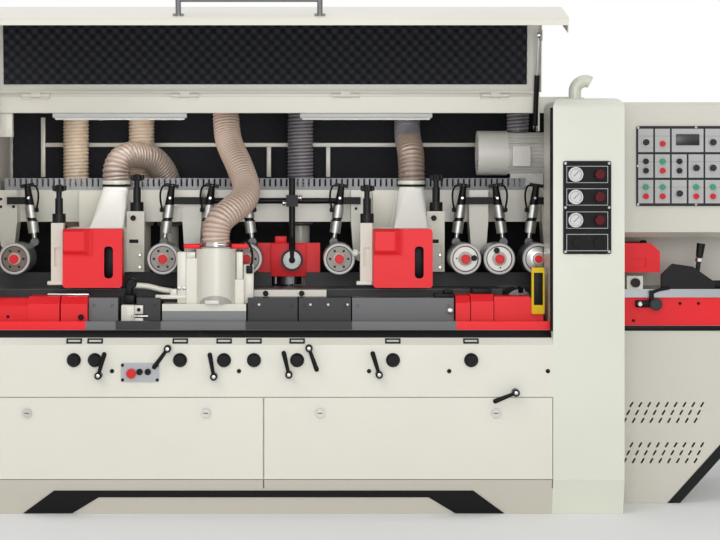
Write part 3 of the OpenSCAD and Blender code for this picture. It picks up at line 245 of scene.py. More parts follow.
def plastic(name, base, rough=0.45, layers=None, gloss=0.12):
    """Moulded plastic: a fine grain and a little dust in patches."""
    f = Finish(name, base, rough, gloss=gloss)
    dust = f.noise(9.0, 3.0)
    f.layer(dust.between(0.62, 9.0) * 0.25, tuple(0.7 * c + 0.02 for c in base), rough + 0.15)
    if layers:
        layers(f)
    return f.done(f.noise(900.0, 1.0), 0.0002, 0.4)


def metal(name, base, rough=0.3, stretch=(4.0, 400.0, 400.0), layers=None, gloss=0.5):
    """Machined metal: fine lines along one axis in colour, gloss and bump."""
    f = Finish(name, base, rough, 1.0, gloss)
    lines = f.noise(3.0, 4.0, stretch)
    f.colour = f.mix(lines * 0.5, tuple(base), times(base, 0.55))
    f.rough = lines * 0.18 + (rough - 0.09)
    if layers:
        layers(f)
    return f.done(lines, 0.0002, 0.3)


def smooth(name, base, rough, patch, amount, grain, depth, strength):
    """A smooth face: soft patches of one scale and a fine grain of another."""
    f = Finish(name, base, rough)
    f.vary(patch, amount)
    return f.done(f.noise(grain), depth, strength)


# Surfaces: each returns points and faces, in metres in the shared frame

def grid(points, wrap=False, ends=False):
    """Quads over an (m, n, 3) array of points: row i joins row i+1; wrap joins the last
    column to the first; ends closes the first and the last row with one face each."""
    m, n, _ = points.shape
    i = np.arange(m - 1)[:, None]
    j = np.arange(n if wrap else n - 1)[None, :]
    k = (j + 1) % n
    quads = np.stack([i * n + j, i * n + k, (i + 1) * n + k, (i + 1) * n + j], -1).reshape(-1, 4)
    faces = quads.tolist()
    if ends:
        faces += [list(range(n - 1, -1, -1)), list(range((m - 1) * n, m * n))]
    return points.reshape(-1, 3), faces


def lathe(at, axis, profile, sides=32):
    """A profile of (distance, radius) pairs turned about an axis through a point: ring i is
    the circle at + axis * distance + radius * (cos t * u + sin t * v). A profile that comes
    back to its first pair makes a ring; any other is closed with a flat face at each end."""
    axis = np.asarray(axis, float)
    u = np.array([0.0, 0.0, 1.0]) if abs(axis[2]) < 0.9 else np.array([1.0, 0.0, 0.0])
    v = np.cross(axis, u)
    v /= np.linalg.norm(v)
    u = np.cross(v, axis)
    d, r = np.array(profile, float).T
    t = np.arange(sides) * TAU / sides
    ring = np.cos(t)[:, None] * u + np.sin(t)[:, None] * v
    points = np.asarray(at, float) + d[:, None, None] * axis + r[:, None, None] * ring
    return grid(points, wrap=True, ends=tuple(profile[0]) != tuple(profile[-1]))


def stud(at, r, h, top, top_r, sides, axis=FORWARD):
    """A round head: a cylinder of radius r and height h that draws in to top_r at the top."""
    return lathe(at, axis, [(0.0, r), (h, r), (top, top_r)], sides)


def bar(low, high, edge=0.002, axis=0):
    """A bar with rounded long edges between two corners: a rounded rectangle carried along
    one axis, drawn in at both ends by the edge radius."""
    low, high = np.asarray(low, float), np.asarray(high, float)
    a, b = [k for k in range(3) if k != axis]
    mid, half = (low + high) / 2, (high - low) / 2
    edge = min(edge, 0.49 * half.min() * 2)
    t = (np.arange(16) + 0.5) * TAU / 16
    c, s = np.sign(np.cos(t)), np.sign(np.sin(t))
    inset = np.array([edge, edge * 0.3, 0.0, 0.0, edge * 0.3, edge])
    along = np.array([-1, -1, -1, 1, 1, 1]) * half[axis] + np.array([0, 0.3, 1, -1, -0.3, 0]) * edge
    points = np.zeros((6, 16, 3))
    for k, sign, wave in ((a, c, np.cos(t)), (b, s, np.sin(t))):
        points[:, :, k] = mid[k] + sign * (half[k] - edge) + wave * (edge - inset[:, None] * 0.7)
    points[:, :, axis] = mid[axis] + along[:, None]
    return grid(points, wrap=True, ends=True)


def turned(shape, mid, axis_u, axis_v):
    """A shape made about the origin, put at a point with its x and y along two axes."""
    points, faces = shape
    u, v = np.asarray(axis_u, float), np.asarray(axis_v, float)
    return np.asarray(mid, float) + points @ np.stack([u, v, np.cross(u, v)]), faces


def smooth_path(points, step):
    """Catmull-Rom curve through the points, walked at an even step: returns the walk, its
    directions and the distance along it."""
    p = np.asarray(points, float)
    ends = np.vstack([2 * p[:1] - p[1:2], p, 2 * p[-1:] - p[-2:-1]])
    t = np.linspace(0, 1, 60, endpoint=False)[:, None]
    parts = [0.5 * (2 * b + (c - a) * t + (2 * a - 5 * b + 4 * c - d) * t ** 2 + (3 * b - a - 3 * c + d) * t ** 3)
             for a, b, c, d in zip(ends, ends[1:], ends[2:], ends[3:])]
    q = np.vstack(parts + [p[-1:]])
    s = np.concatenate([[0], np.cumsum(np.linalg.norm(np.diff(q, axis=0), axis=1))])
    even = np.linspace(0, s[-1], max(int(round(s[-1] / step)), 2) + 1)
    walk = np.stack([np.interp(even, s, q[:, k]) for k in range(3)], -1)
    way = np.gradient(walk, axis=0)
    return walk, way / np.linalg.norm(way, axis=1, keepdims=True), even


def rings(walk, way, radius, sides):
    """Circles square to a path; radius is one number or an array over (step, side)."""
    u = np.cross(way, np.array([0.31, -0.95, 0.05]))
    u /= np.linalg.norm(u, axis=1, keepdims=True)
    v = np.cross(way, u)
    t = np.arange(sides) * TAU / sides
    round_ = np.cos(t)[None, :, None] * u[:, None] + np.sin(t)[None, :, None] * v[:, None]
    return walk[:, None] + np.broadcast_to(radius, round_.shape[:2])[..., None] * round_


def tube(points, radius, sides=12, step=0.006):
    """A round bar along a smooth path, closed at both ends."""
    walk, way, _ = smooth_path(points, step)
    return grid(rings(walk, way, radius, sides)[:, ::-1], wrap=True, ends=True)


def spiral_hose(points, radius, rib, pitch, wall=0.004, sides=40):
    """A hose with a spiral rib: outer radius at distance s and angle t is
    radius - rib + rib * (0.5 + 0.5 * cos(2 pi (s / pitch - t / 2 pi))) ** 0.7, with a plain bore.
    Also returns how high each point is on the rib, from 0 to 1."""
    walk, way, s = smooth_path(points, pitch / 8)
    t = np.arange(sides) / sides
    crest = (0.5 + 0.5 * np.cos(TAU * (s[:, None] / pitch - t[None, :]))) ** 0.7
    fade = np.clip(np.minimum(s, s[-1] - s) / (0.6 * pitch), 0, 1)[:, None]
    outer = rings(walk, way, radius - rib + rib * crest * fade, sides)
    inner = rings(walk[::6], way[::6], radius - rib - wall, sides)
    inner = np.concatenate([inner, rings(walk[-1:], way[-1:], radius - rib - wall, sides)])
    shell = np.concatenate([outer, inner[::-1], outer[:1]])[:, ::-1]
    height = np.concatenate([crest * fade, np.zeros(inner.shape[:2]), (crest * fade)[:1]])[:, ::-1]
    return grid(shell, wrap=True), height.ravel()


def slab(u, v, h, place):
    """A sheet over a (u, v) grid with its front at heights h, a flat back at height 0 and
    closed edges. place turns (u, v, height) into points."""
    m, n = u.shape
    points, faces = grid(place(u, v, h))
    edge = np.concatenate([np.arange(n), np.arange(1, m) * n + n - 1,
                           (m - 1) * n + np.arange(n - 2, -1, -1), np.arange(m - 2, 0, -1) * n])
    flat = place(u.ravel()[edge], v.ravel()[edge], np.zeros(len(edge)))
    k = np.arange(len(edge))
    after = (k + 1) % len(edge)
    sides = np.stack([edge, len(points) + k, len(points) + after, edge[after]], -1)
    return np.concatenate([points, flat]), faces + sides.tolist() + [(len(points) + k[::-1]).tolist()]


def field(u0, u1, v0, v1, step):
    """An even (u, v) grid between limits."""
    m, n = (int(round((b - a) / step)) + 1 for a, b in ((u0, u1), (v0, v1)))
    return np.meshgrid(np.linspace(u0, u1, m), np.linspace(v0, v1, n), indexing="ij")


def crate(u0, u1, v0, v1, pitch, depth, pad, place):
    """Egg-crate foam: over (u, v) the front stands at
    pad + depth * (0.5 + 0.5 * sin(2 pi u / pitch) * sin(2 pi v / pitch)).
    Also returns how high each point is on the peaks, from 0 to 1."""
    u, v = field(u0, u1, v0, v1, pitch / 7)
    peak = 0.5 + 0.5 * np.sin(TAU * (u - u0) / pitch) * np.sin(TAU * (v - v0) / pitch)
    shape = slab(u, v, pad + depth * peak, place)
    height = np.zeros(len(shape[0]))
    height[:peak.size] = peak.ravel()
    return shape, height


def lid_turn(points):
    """Points of the closed lid about its hinge, swung to the raised lid at rest."""
    y, z = points[..., 1], points[..., 2]
    c, s = math.cos(LID_OPEN), math.sin(LID_OPEN)
    return HINGE + np.stack([points[..., 0], c * y + s * z, c * z - s * y], -1)


def spread(xs, y, zs):
    """Places at each x and each z of one upright plane."""
    return [(x, y, z) for x in xs for z in zs]


def repeat(shape, places):
    """The same small shape put at each place."""
    points, faces = shape
    places = np.asarray(places, float).reshape(-1, 3)
    many = (places[:, None] + points[None]).reshape(-1, 3)
    return many, [[k * len(points) + c for c in f] for k in range(len(places)) for f in faces]


def frame_strip(mid, width, height, line, thick, axis_u=SIDE, axis_v=UP):
    """A flat rectangular frame: an outer and an inner rectangle in the plane of two axes,
    joined and given a thickness along their normal."""
    u, v = np.asarray(axis_u, float), np.asarray(axis_v, float)
    w = np.cross(u, v)
    corner = np.array([[-1, -1], [1, -1], [1, 1], [-1, 1]]) / 2
    outer, inner = corner * [width, height], corner * [width - 2 * line, height - 2 * line]
    loops = np.stack([np.column_stack([o, np.full(4, t)]) for o, t in
                      ((outer, 0), (outer, thick), (inner, thick), (inner, 0), (outer, 0))])
    return grid(np.asarray(mid, float) + loops @ np.stack([u, v, w]), wrap=True)


# Making objects

def make(name, shapes, finish, body="frame", angle=0.6, rib=None):
    """One object from several (points, faces) shapes, with a (material, slot) finish whose slot is not used, riding
    on a body. Edges sharper than the angle stay sharp; rib goes into an attribute."""
    material, slot = finish
    points, faces, start = [], [], 0
    for p, f in shapes:
        points.append(p)
        faces += [[start + c for c in face] for face in f]
        start += len(p)
    mesh = bpy.data.meshes.new(name)
    mesh.from_pydata(np.concatenate(points), [], faces)
    mesh.validate()
    solid = bmesh.new()
    solid.from_mesh(mesh)
    bmesh.ops.recalc_face_normals(solid, faces=solid.faces)
    solid.to_mesh(mesh)
    solid.free()
    mesh.polygons.foreach_set("use_smooth", np.ones(len(mesh.polygons), bool))
    mesh.set_sharp_from_angle(angle=angle)
    if rib is not None:
        mesh.attributes.new("rib", "FLOAT", "POINT").data.foreach_set("value", np.asarray(rib, np.float32))
    mesh.materials.append(material)
    piece = bpy.data.objects.new(name, mesh)
    bpy.context.scene.collection.objects.link(piece)
    if body:
        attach(piece, body)
    return piece


def dress(nodes, material):
    """Gives solid parts a finish."""
    for node in nodes.split():
        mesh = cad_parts[node].data
        mesh.materials.clear()
        mesh.materials.append(material)


def numbered(name, count):
    """Names with numbers from 1, in one string."""
    return " ".join("%s_%d" % (name, k + 1) for k in range(count))


# Operators

class PieceOperator(bpy.types.Operator):
    """Base of the operators: each makes one group of pieces."""
    bl_options = {"REGISTER", "UNDO"}

    def execute(self, context):
        self.build(colours(), context.scene.moulder_sizes)
        return {"FINISHED"}


class MOULDER_OT_finishes(PieceOperator):
    """Give the solid parts their finishes"""
    bl_idname = "moulder.finishes"
    bl_label = "Finishes"

    def build(self, c, sizes):
        cream, black, red = c["cream"], c["black"], c["red"]
        dark_cover, grey_cover = (0.042, 0.042, 0.045), (0.17, 0.172, 0.176)
        across, upright = (400.0, 4.0, 400.0), (400.0, 400.0, 4.0)
        rim, groove, hub = 0.0562 ** 2, 0.0524 ** 2, 0.0265 ** 2  # a roller's radii, squared

        def base(f):
            # The front kick below KICK_TOP is painted darker: painted shade of the inward-sloping kick panel.
            f.layer((f.z < KICK_TOP) * (f.y < -0.4), (0.56, 0.53, 0.45), 0.45)
            joints = f.x.between(-0.0025, 0.0025) + (f.x > 1.1955)
            f.layer((f.z < KICK_TOP) * (f.y < -0.54) * joints, (0.08, 0.075, 0.065), 0.6)

        def doors(f):
            f.layer(f.y < -0.5505, (0.42, 0.41, 0.39), 0.42, 0.9)
            f.layer(f.y.between(-0.5584, -0.5505), (0.07, 0.068, 0.06), 0.5, 0.6)

        def tray(f):
            # A darker ellipse in the arch under the hood's front: painted shade of the arch opening.
            arch = ((f.x + 0.206) / 0.068).power(2.0) + ((f.z - 0.865) / 0.036).power(2.0)
            f.layer((arch < 1.0) * (f.y < -0.33) * (f.z > 0.8655), (0.4, 0.39, 0.35), 0.4)
            f.layer(f.z < 0.836, (0.2, 0.204, 0.21), 0.45)

        def strip(f):
            seal = f.z.between(0.7632, 0.81) * (f.y < -0.43)
            f.layer(seal, dark_cover, 0.42)
            pale = f.x.between(-0.746, -0.62) + f.x.between(-0.431, -0.077) + f.x.between(0.369, 0.805)
            f.layer(seal * pale, grey_cover, 0.45)
            f.layer(seal * ((f.x < -0.746) + (f.x > 0.805)), red, 0.3)

        def arm(f):
            f.layer(f.x.between(1.55, 1.63) * f.y.between(-0.2385, -0.165) * (f.z < 0.98), cream, 0.35)

        def bed(f):
            front = f.y < -0.2302
            f.layer(front, grey_cover, 0.45)
            f.layer(front * f.x.between(-0.6, 0.369), dark_cover, 0.42)
            f.layer(f.z.between(0.9195, 0.9205), (0.2, 0.205, 0.21), 0.35, 0.8)

        def rod(f):
            f.layer(f.z > 1.134, (0.46, 0.46, 0.45), 0.36)

        def cylinders(f):
            f.layer(f.z > 1.279, black, 0.4, 0.0)
            f.layer(f.z.between(1.207, 1.222), (0.03, 0.03, 0.03), 0.4)

        def knobs(f):
            plate = (f.z < 0.636) * f.x.between(-0.592, -0.432) * (f.y > -0.5555)
            f.layer(plate, (0.32, 0.33, 0.34), 0.4, 0.6)

        def tiles(f):
            face = f.y.between(-0.2405, -0.2395)
            f.layer(face, (0.49, 0.49, 0.48), 0.42)
            f.layer(face * ((f.z - TILE_FOOT) / TILE_H).fraction().between(0.664, 0.678), (0.25, 0.255, 0.26), 0.45)

        def buttons(f):
            upper = (((f.z - TILE_FOOT) / TILE_H).fraction() > 0.5) * (f.y > -0.4)
            pairs = f.z.between(1.4, 1.5) * (f.x.between(1.6, 1.67) + f.x.between(1.745, 1.82))
            f.layer(upper * (f.z < 1.51), (0.06, 0.33, 0.18), 0.3)
            f.layer(pairs, (0.02, 0.02, 0.022), 0.35)
            f.layer(f.x.between(1.6, 1.67) * (f.z > 1.51), (0.7, 0.7, 0.68), 0.35)

        dress("base_cabinet", paint("cabinet_paint", cream, layers=base))
        dress("service_doors", paint("door_paint", cream, layers=doors))
        dress("rear_cabinet", paint("enclosure_paint", cream))
        dress("lid_shell", paint("lid_paint", cream))
        dress("roller_beam", paint("beam_paint", times(cream, 0.88)))
        dress("side_hood", paint("hood_paint", cream, layers=tray))
        # Darker copy of the cream: partly the infeed parts' greyer cream, partly painted shade on the machine's
        # right-hand end.
        dress("infeed_base control_box", paint("infeed_paint", times(cream, 0.88)))
        dress("column_cover", paint("column_paint", c["column"]))
        dress("bed_covers top_hood_left top_hood_right", paint("red_paint", red, 0.38, coat=0.0, gloss=0.22))
        dress("gas_spring_tubes", paint("black_paint", black, 0.35, coat=0.1, gloss=0.2))
        dress("base_skirt", paint("skirt_paint", black, 0.4, strip, 0.0, 0.2))
        dress("hold_downs", paint("arm_paint", black, 0.38, arm, 0.0, 0.2))
        dress("bed_casting", paint("bed_paint", c["grey"], 0.45, bed, 0.0, 0.25))
        dress("feed_motor", paint("motor_paint", (0.82, 0.8, 0.75), 0.35, coat=0.1, gloss=0.3))
        dress(numbered("roller_hanger", 8), metal("hanger_metal", (0.1, 0.1, 0.105), 0.42, layers=rod))
        dress("infeed_table", metal("table_metal", (0.34, 0.35, 0.36), 0.35))
        dress("top_cutter_left top_cutter_right bottom_cutter fence_cutter side_cutter",
              metal("cutter_metal", (0.13, 0.13, 0.135), 0.42, across))
        dress("gas_spring_rods", metal("chrome", (0.78, 0.78, 0.79), 0.12))
        dress("lid_handle", metal("handle_steel", (0.26, 0.26, 0.265), 0.22))
        dress("press_cylinders", metal("cylinder_metal", c["silver"], 0.42, upright, cylinders, 0.15))
        dress("cable_duct", plastic("duct_plastic", (0.33, 0.335, 0.35), 0.5))
        dress("gauge_panel " + numbered("clamp_lever", 7), plastic("black_plastic", black, 0.4))
        dress("front_knobs", plastic("knob_plastic", black, 0.38, knobs))
        dress("control_panel", plastic("panel_plastic", (0.03, 0.031, 0.034), 0.4, tiles))
        dress("push_buttons", plastic("button_plastic", (0.62, 0.03, 0.03), 0.28, buttons))
        for side, x in HEADS.items():
            def screws(f, x=x):
                left = (f.x - x).between(-0.19, -0.118) * (f.z > 1.2055)
                right = (f.x - x).between(0.128, 0.2) * (f.z > 1.2515)
                # The duct front is painted lighter than the cream: partly a whiter duct, partly painted light where
                # the deep-set duct gets little light.
                duct = ((f.z - 1.19) * -0.16 + (f.x - x)).between(-0.028, 0.11) * (f.z > 1.1815)
                f.layer(duct, (0.9, 0.885, 0.83), 0.34)
                f.layer(left + right, black, 0.4)
                f.layer(f.z.between(1.3595, 1.3685) * (f.y > 0.0), black, 0.5)
            dress("top_head_" + side, paint("head_paint_" + side, cream, 0.34, screws, 0.0, 0.25))
        for k, x in enumerate(ROLLER_X):
            def face(f, x=x, k=k):
                r2 = f.about(x, ROLLER_Z)
                front = f.y < -0.2065
                f.layer(front * (r2 > rim), (0.4, 0.4, 0.385), 0.45, 0.3)
                # The groove ring is painted near-black: painted shade in the groove.
                f.layer(front * r2.between(groove, rim), (0.05, 0.048, 0.045), 0.5, 0.2)
                disc = (0.14, 0.105, 0.085) if k == 0 else (0.235, 0.215, 0.195)
                f.layer(front * (r2 < groove), disc, 0.45, 0.3)
                f.layer(front * (r2 < hub), (0.7, 0.58, 0.5), 0.45, 0.1)
            dress("feed_roller_%d" % (k + 1),
                  metal("roller_metal_%d" % (k + 1), (0.36, 0.36, 0.355), 0.36, across, face))


class MOULDER_OT_hoses(PieceOperator):
    """Make the ribbed extraction hoses and their clamps"""
    bl_idname = "moulder.hoses"
    bl_label = "Hoses"

    def build(self, c, sizes):
        def wall(name, base, upper=None, low=0.66, high=1.15):
            """Ribs lighter than the grooves, as a painted highlight on the crests and painted shade in the grooves; an
            upper colour above a slanted line.
            """
            f = Finish(name, base, 0.34, coat_weight=0.4, coat_roughness=0.2, subsurface_weight=0.15)
            rib = f.rib()
            f.colour = f.mix(rib, times(base, low), tuple(min(k, 0.95) for k in times(base, high)))
            if upper:
                # The upper colour also gets the painted rib highlight and groove shade.
                dark = f.mix(rib, times(upper, 0.35), times(upper, 2.0))
                f.colour = f.mix((f.y * 0.9 + f.z * 0.45) > 0.906, f.colour, dark)
            f.vary(7.0, 0.12, 0.12)
            return f.done(f.noise(160.0, 2.0), 0.0004, 0.3)

        pale = wall("hose_wall_pale", c["hose"], None, 0.8)
        clear = wall("hose_wall_side", times(c["hose"], (0.74, 0.78, 0.84)))
        brown = wall("hose_wall_brown", times(c["hose"], (0.4, 0.44, 0.48)))
        # Smoke hose: grooves at 0.35 and crests at twice the base, a strong painted highlight and painted shade on the
        # ribs.
        smoke = wall("hose_wall_smoke", (0.17, 0.16, 0.175), None, 0.35, 2.0)
        mixed = wall("hose_wall_mixed", times(c["hose"], (0.3, 0.32, 0.34)), (0.19, 0.18, 0.2))
        side = [(-180, 150, HOSE_TOP), (-180, 150, 1660), (-166, 108, 1560), (-116, -10, 1450),
                (-84, -100, 1360), (-92, -186, 1304), (-140, -258, 1262), (-190, -306, 1216),
                (-206, -319, 1162), (-206, -319, 1104)]
        left = [(-670, 110, 1370), (-670, 110, 1434), (-650, 129, 1480), (-604, 170, 1502),
                (-522, 248, 1487), (-466, 326, 1414), (-450, 380, 1310), (-450, 392, HOSE_FOOT)]
        right = [(649, 110, 1370), (649, 110, 1432), (648, 143, 1498), (646, 222, 1542),
                 (645, 313, 1569), (644, 379, 1620), (644, 400, 1682), (644, 400, HOSE_TOP)]
        routes = [("hose_branch_%d" % (k + 1), [(x, 400, HOSE_TOP), (x, 400, HOSE_FOOT)], finish)
                  for k, (x, finish) in enumerate(((-881, pale), (-579, pale), (153, smoke)))]
        routes += [("hose_stub", [(1140, 262, HOSE_TOP), (1140, 262, 1606)], smoke),
                   ("hose_side", side, clear), ("hose_left", left, brown), ("hose_right", right, mixed)]
        for name, points, finish in routes:
            points = np.array(points) * MM
            radius = sizes.hose_r if name != "hose_stub" else 0.86 * sizes.hose_r
            shape, rib = spiral_hose(points, radius, sizes.hose_rib, sizes.hose_pitch)
            moving = name in ("hose_left", "hose_right")
            piece = make(name, [shape], (finish, "hose_plastic"), None if moving else "frame", 1.2, rib)
            if moving:
                which = name.split("_")[1]
                "head_" + which
                points[0] + (0, 0, 0.02)
                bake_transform(piece)
                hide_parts("head_hose_" + which)
        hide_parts("extraction_hoses")

        band = metal("clamp_band", (0.6, 0.6, 0.6), 0.25), "steel"
        cuff = paint("cuff_paint", c["cream"]), "cream_paint"
        ring = [(0.0, 0.0585), (0.0, 0.0622), (0.016, 0.0622), (0.016, 0.0585), (0.0, 0.0585)]
        screw = lathe((HOOD_X + 0.02, HOOD_Y - 0.066, 1.116), SIDE,
                      [(-0.014, 0.004), (-0.014, 0.006), (0.014, 0.006), (0.014, 0.004)], 12)
        make("side_hose_clamp", [lathe((HOOD_X, HOOD_Y, 1.108), UP, ring, 48), screw], band)
        for which, x in HEADS.items():
            make("duct_clamp_" + which, [lathe((x + 0.061, 0.11, 1.3705), UP, ring, 48)], cuff, "head_" + which)


class MOULDER_OT_foam(PieceOperator):
    """Make the lid's egg-crate foam and the lining behind the bed"""
    bl_idname = "moulder.foam"
    bl_label = "Foam"

    def build(self, c, sizes):
        f = Finish("sound_foam", c["foam"], 0.9, sheen_weight=0.06)
        pores = f.noise(420.0, 3.0)
        peak = f.rib()
        # Colour by peak height: painted light on the peaks and painted shade in the hollows, broken up by the pores.
        f.colour = f.mix(peak.power(1.6) * (pores * 0.6 + 0.7), times(c["foam"], 0.25), times(c["foam"], 3.0))
        soft = f.done(pores, 0.0008, 0.6), "foam"
        f = Finish("lining_foam", c["foam"], 0.9)
        f.colour = f.mix(f.noise(300.0, 3.0), times(c["foam"], 0.4), times(c["foam"], 1.3))
        plain = f.done(f.noise(420.0, 3.0), 0.0008, 0.6), "foam"

        pad, half = 0.006, 1.136
        roof, roof_peaks = crate(-half, half, -0.32, -0.048, sizes.foam_pitch, sizes.foam_depth, pad,
                                 lambda u, v, h: lid_turn(np.stack([u, v, -0.004 - h], -1)))
        front, front_peaks = crate(-half, half, -0.67, -0.09, sizes.foam_pitch, sizes.foam_depth, pad,
                                   lambda u, v, h: lid_turn(np.stack([u, -0.376 + h, v], -1)))
        piece = make("lid_foam_pad", [roof, front], soft, "lid", 1.0, np.concatenate([roof_peaks, front_peaks]))
        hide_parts("lid_foam")

        u, v = field(-1.19, 1.325, 0.77, 1.744, sizes.lining_pitch / 6)
        h = 0.01 + 0.006 * np.abs(np.sin(np.pi * (u + v) / sizes.lining_pitch))
        sheet = slab(u, v, h, lambda u, v, h: np.stack([u, 0.5438 - h, v], -1))
        lining = make("rear_lining", [sheet], plain, angle=1.0)


class MOULDER_OT_inside(PieceOperator):
    """Make the lamps and bars seen inside the raised lid, and the screws"""
    bl_idname = "moulder.inside"
    bl_label = "Inside"

    def build(self, c, sizes):
        cream = paint("bar_paint", c["cream"]), "cream_paint"
        low, high = 0.505, 0.5276
        bars = [bar((-1.036, low, 1.543), (1.2, high, 1.562)),
                bar((-1.056, low, 1.403), (-1.036, high, 1.68), axis=2)]
        bars += [bar((x - 0.01, low, 1.403), (x + 0.01, high, 1.543), axis=2) for x in (0.006, 0.282)]
        make("lining_bars", bars, cream)
        make("roof_flange", [bar((-1.196, -0.099, 1.7522), (1.196, -0.094, 1.7715), 0.001)], cream)

        case = smooth("lamp_case", (0.62, 0.62, 0.6), 0.35, 6.0, 0.05, 300.0, 0.0002, 0.3), "silver"
        cover = smooth("lamp_cover", (0.9, 0.9, 0.86), 0.5, 30.0, 0.03, 400.0, 0.0001, 0.2), "silver"
        make("lamp_cases", [bar((a, -0.094, 1.66), (b, -0.046, 1.6816), 0.004) for a, b in LAMPS], case)
        make("lamp_covers", [bar((a + 0.01, -0.088, 1.6524), (b - 0.01, -0.052, 1.66), 0.003) for a, b in LAMPS],
             cover)

        head = lathe((0, 0, 0), FORWARD, [(0.0, 0.0065), (0.003, 0.0065), (0.0045, 0.005), (0.0045, 0.0025),
                                          (0.002, 0.0022)], 12)
        spots = spread((-0.022, 0.195, 0.27, 0.352), COVER_FACE, (0.775, 0.862))
        spots += spread((1.25, 1.431), GAUGE_RIM, (1.092, 1.275, 1.458))
        spots += spread((1.603, 2.101), PANEL_RIM, (1.284, 1.449, 1.614))
        spots += spread((PANEL_X,), PANEL_RIM, (1.2835, 1.6145))
        make("plate_screws", [repeat(head, spots)], (metal("screw_steel", (0.34, 0.34, 0.33), 0.36), "steel"))
        spots = spread((-1.18, -1.124), BEAM_FACE, (1.304, 1.27))
        spots += spread((0.4, 0.438), BEAM_FACE, (1.262,)) + spread((0.926, 0.966), BEAM_FACE, (1.287,))
        spots += spread((1.586,), APRON_FACE, (0.784,)) + spread((1.786, 1.865), APRON_FACE, (0.858,))
        spots += spread((-1.085,), COVER_FACE, (0.811,)) + spread((-0.584, -0.44), -0.5552, (0.561, 0.622))
        make("dark_screws", [repeat(head, spots)], (plastic("screw_black", c["black"], 0.4), "steel"))


class MOULDER_OT_rollers(PieceOperator):
    """Make the red caps and bolts on the feed rollers' faces"""
    bl_idname = "moulder.rollers"
    bl_label = "Roller faces"

    def build(self, c, sizes):
        red = plastic("cap_plastic", (0.72, 0.03, 0.035), 0.3), "red_plastic"
        steel = metal("bolt_steel", (0.5, 0.5, 0.49), 0.3), "steel"
        black = plastic("roller_knob_plastic", c["black"], 0.35)
        bolt = lathe((0, 0, 0), FORWARD, [(0.0, 0.005), (0.004, 0.005), (0.005, 0.004), (0.005, 0.002),
                                          (0.002, 0.0018)], 12)
        knob = lathe((0, 0, 0), FORWARD, [(0.0, 0.006), (0.004, 0.006), (0.005, 0.012), (0.012, 0.0125),
                                          (0.015, 0.01)], 20)
        dot = stud((0, 0, 0), 0.0035, 0.0015, 0.002, 0.003, 10)
        ring = [(-0.0078, 0.0268), (-0.0078, 0.0522), (-0.0052, 0.0522), (-0.0045, 0.0512),
                (-0.0045, 0.0276), (-0.0052, 0.0268), (-0.0078, 0.0268)]
        cone = [(-0.0078, 0.0268), (-0.0078, 0.0525), (-0.002, 0.0525), (0.006, 0.035),
                (0.0068, 0.0268), (-0.0078, 0.0268)]
        knobs = {5: ((0.037, 0.004), (-0.038, 0.002)), 6: ((-0.012, 0.037), (0.004, -0.038))}
        for k, x in enumerate(ROLLER_X):
            at, number = (x, ROLLER_Y, ROLLER_Z), "_%d" % (k + 1)
            body = "roller" + number
            wide = 0.0165 if k == 7 else 0.0195
            cap = lathe(at, FORWARD, [(0.0082, wide), (0.018, wide), (0.021, wide - 0.0025)], 32)
            make("roller_cap" + number, [cap], red, body)
            if k in knobs:
                def line(f, x=x):
                    r2 = f.about(x, ROLLER_Z)
                    f.layer(r2.between(0.029 ** 2, 0.0308 ** 2), (0.05, 0.05, 0.05), 0.5)
                disc = paint("disc_paint" + number, (0.76, 0.75, 0.7), layers=line), "cream_paint"
                make("roller_disc" + number, [lathe(at, FORWARD, ring, 48)], disc, body)
                (a, b), (e, f) = knobs[k]
                make("roller_knob" + number, [repeat(knob, (x + a, ROLLER_Y + 0.0045, ROLLER_Z + b)),
                                              repeat(dot, (x + e, ROLLER_Y + 0.0045, ROLLER_Z + f))],
                     (black, "black_plastic"), body)
            elif k == 7:
                make("roller_cone" + number, [lathe(at, FORWARD, cone, 48)], steel, body)
            else:
                t, circle = np.arange(6) * TAU / 6 + math.pi / 6, 0.039
                spots = np.stack([x + circle * np.sin(t), np.full(6, ROLLER_Y + 0.008),
                                  ROLLER_Z + circle * np.cos(t)], -1)
                make("roller_bolts" + number, [repeat(bolt, spots)], (black, "steel"), body)


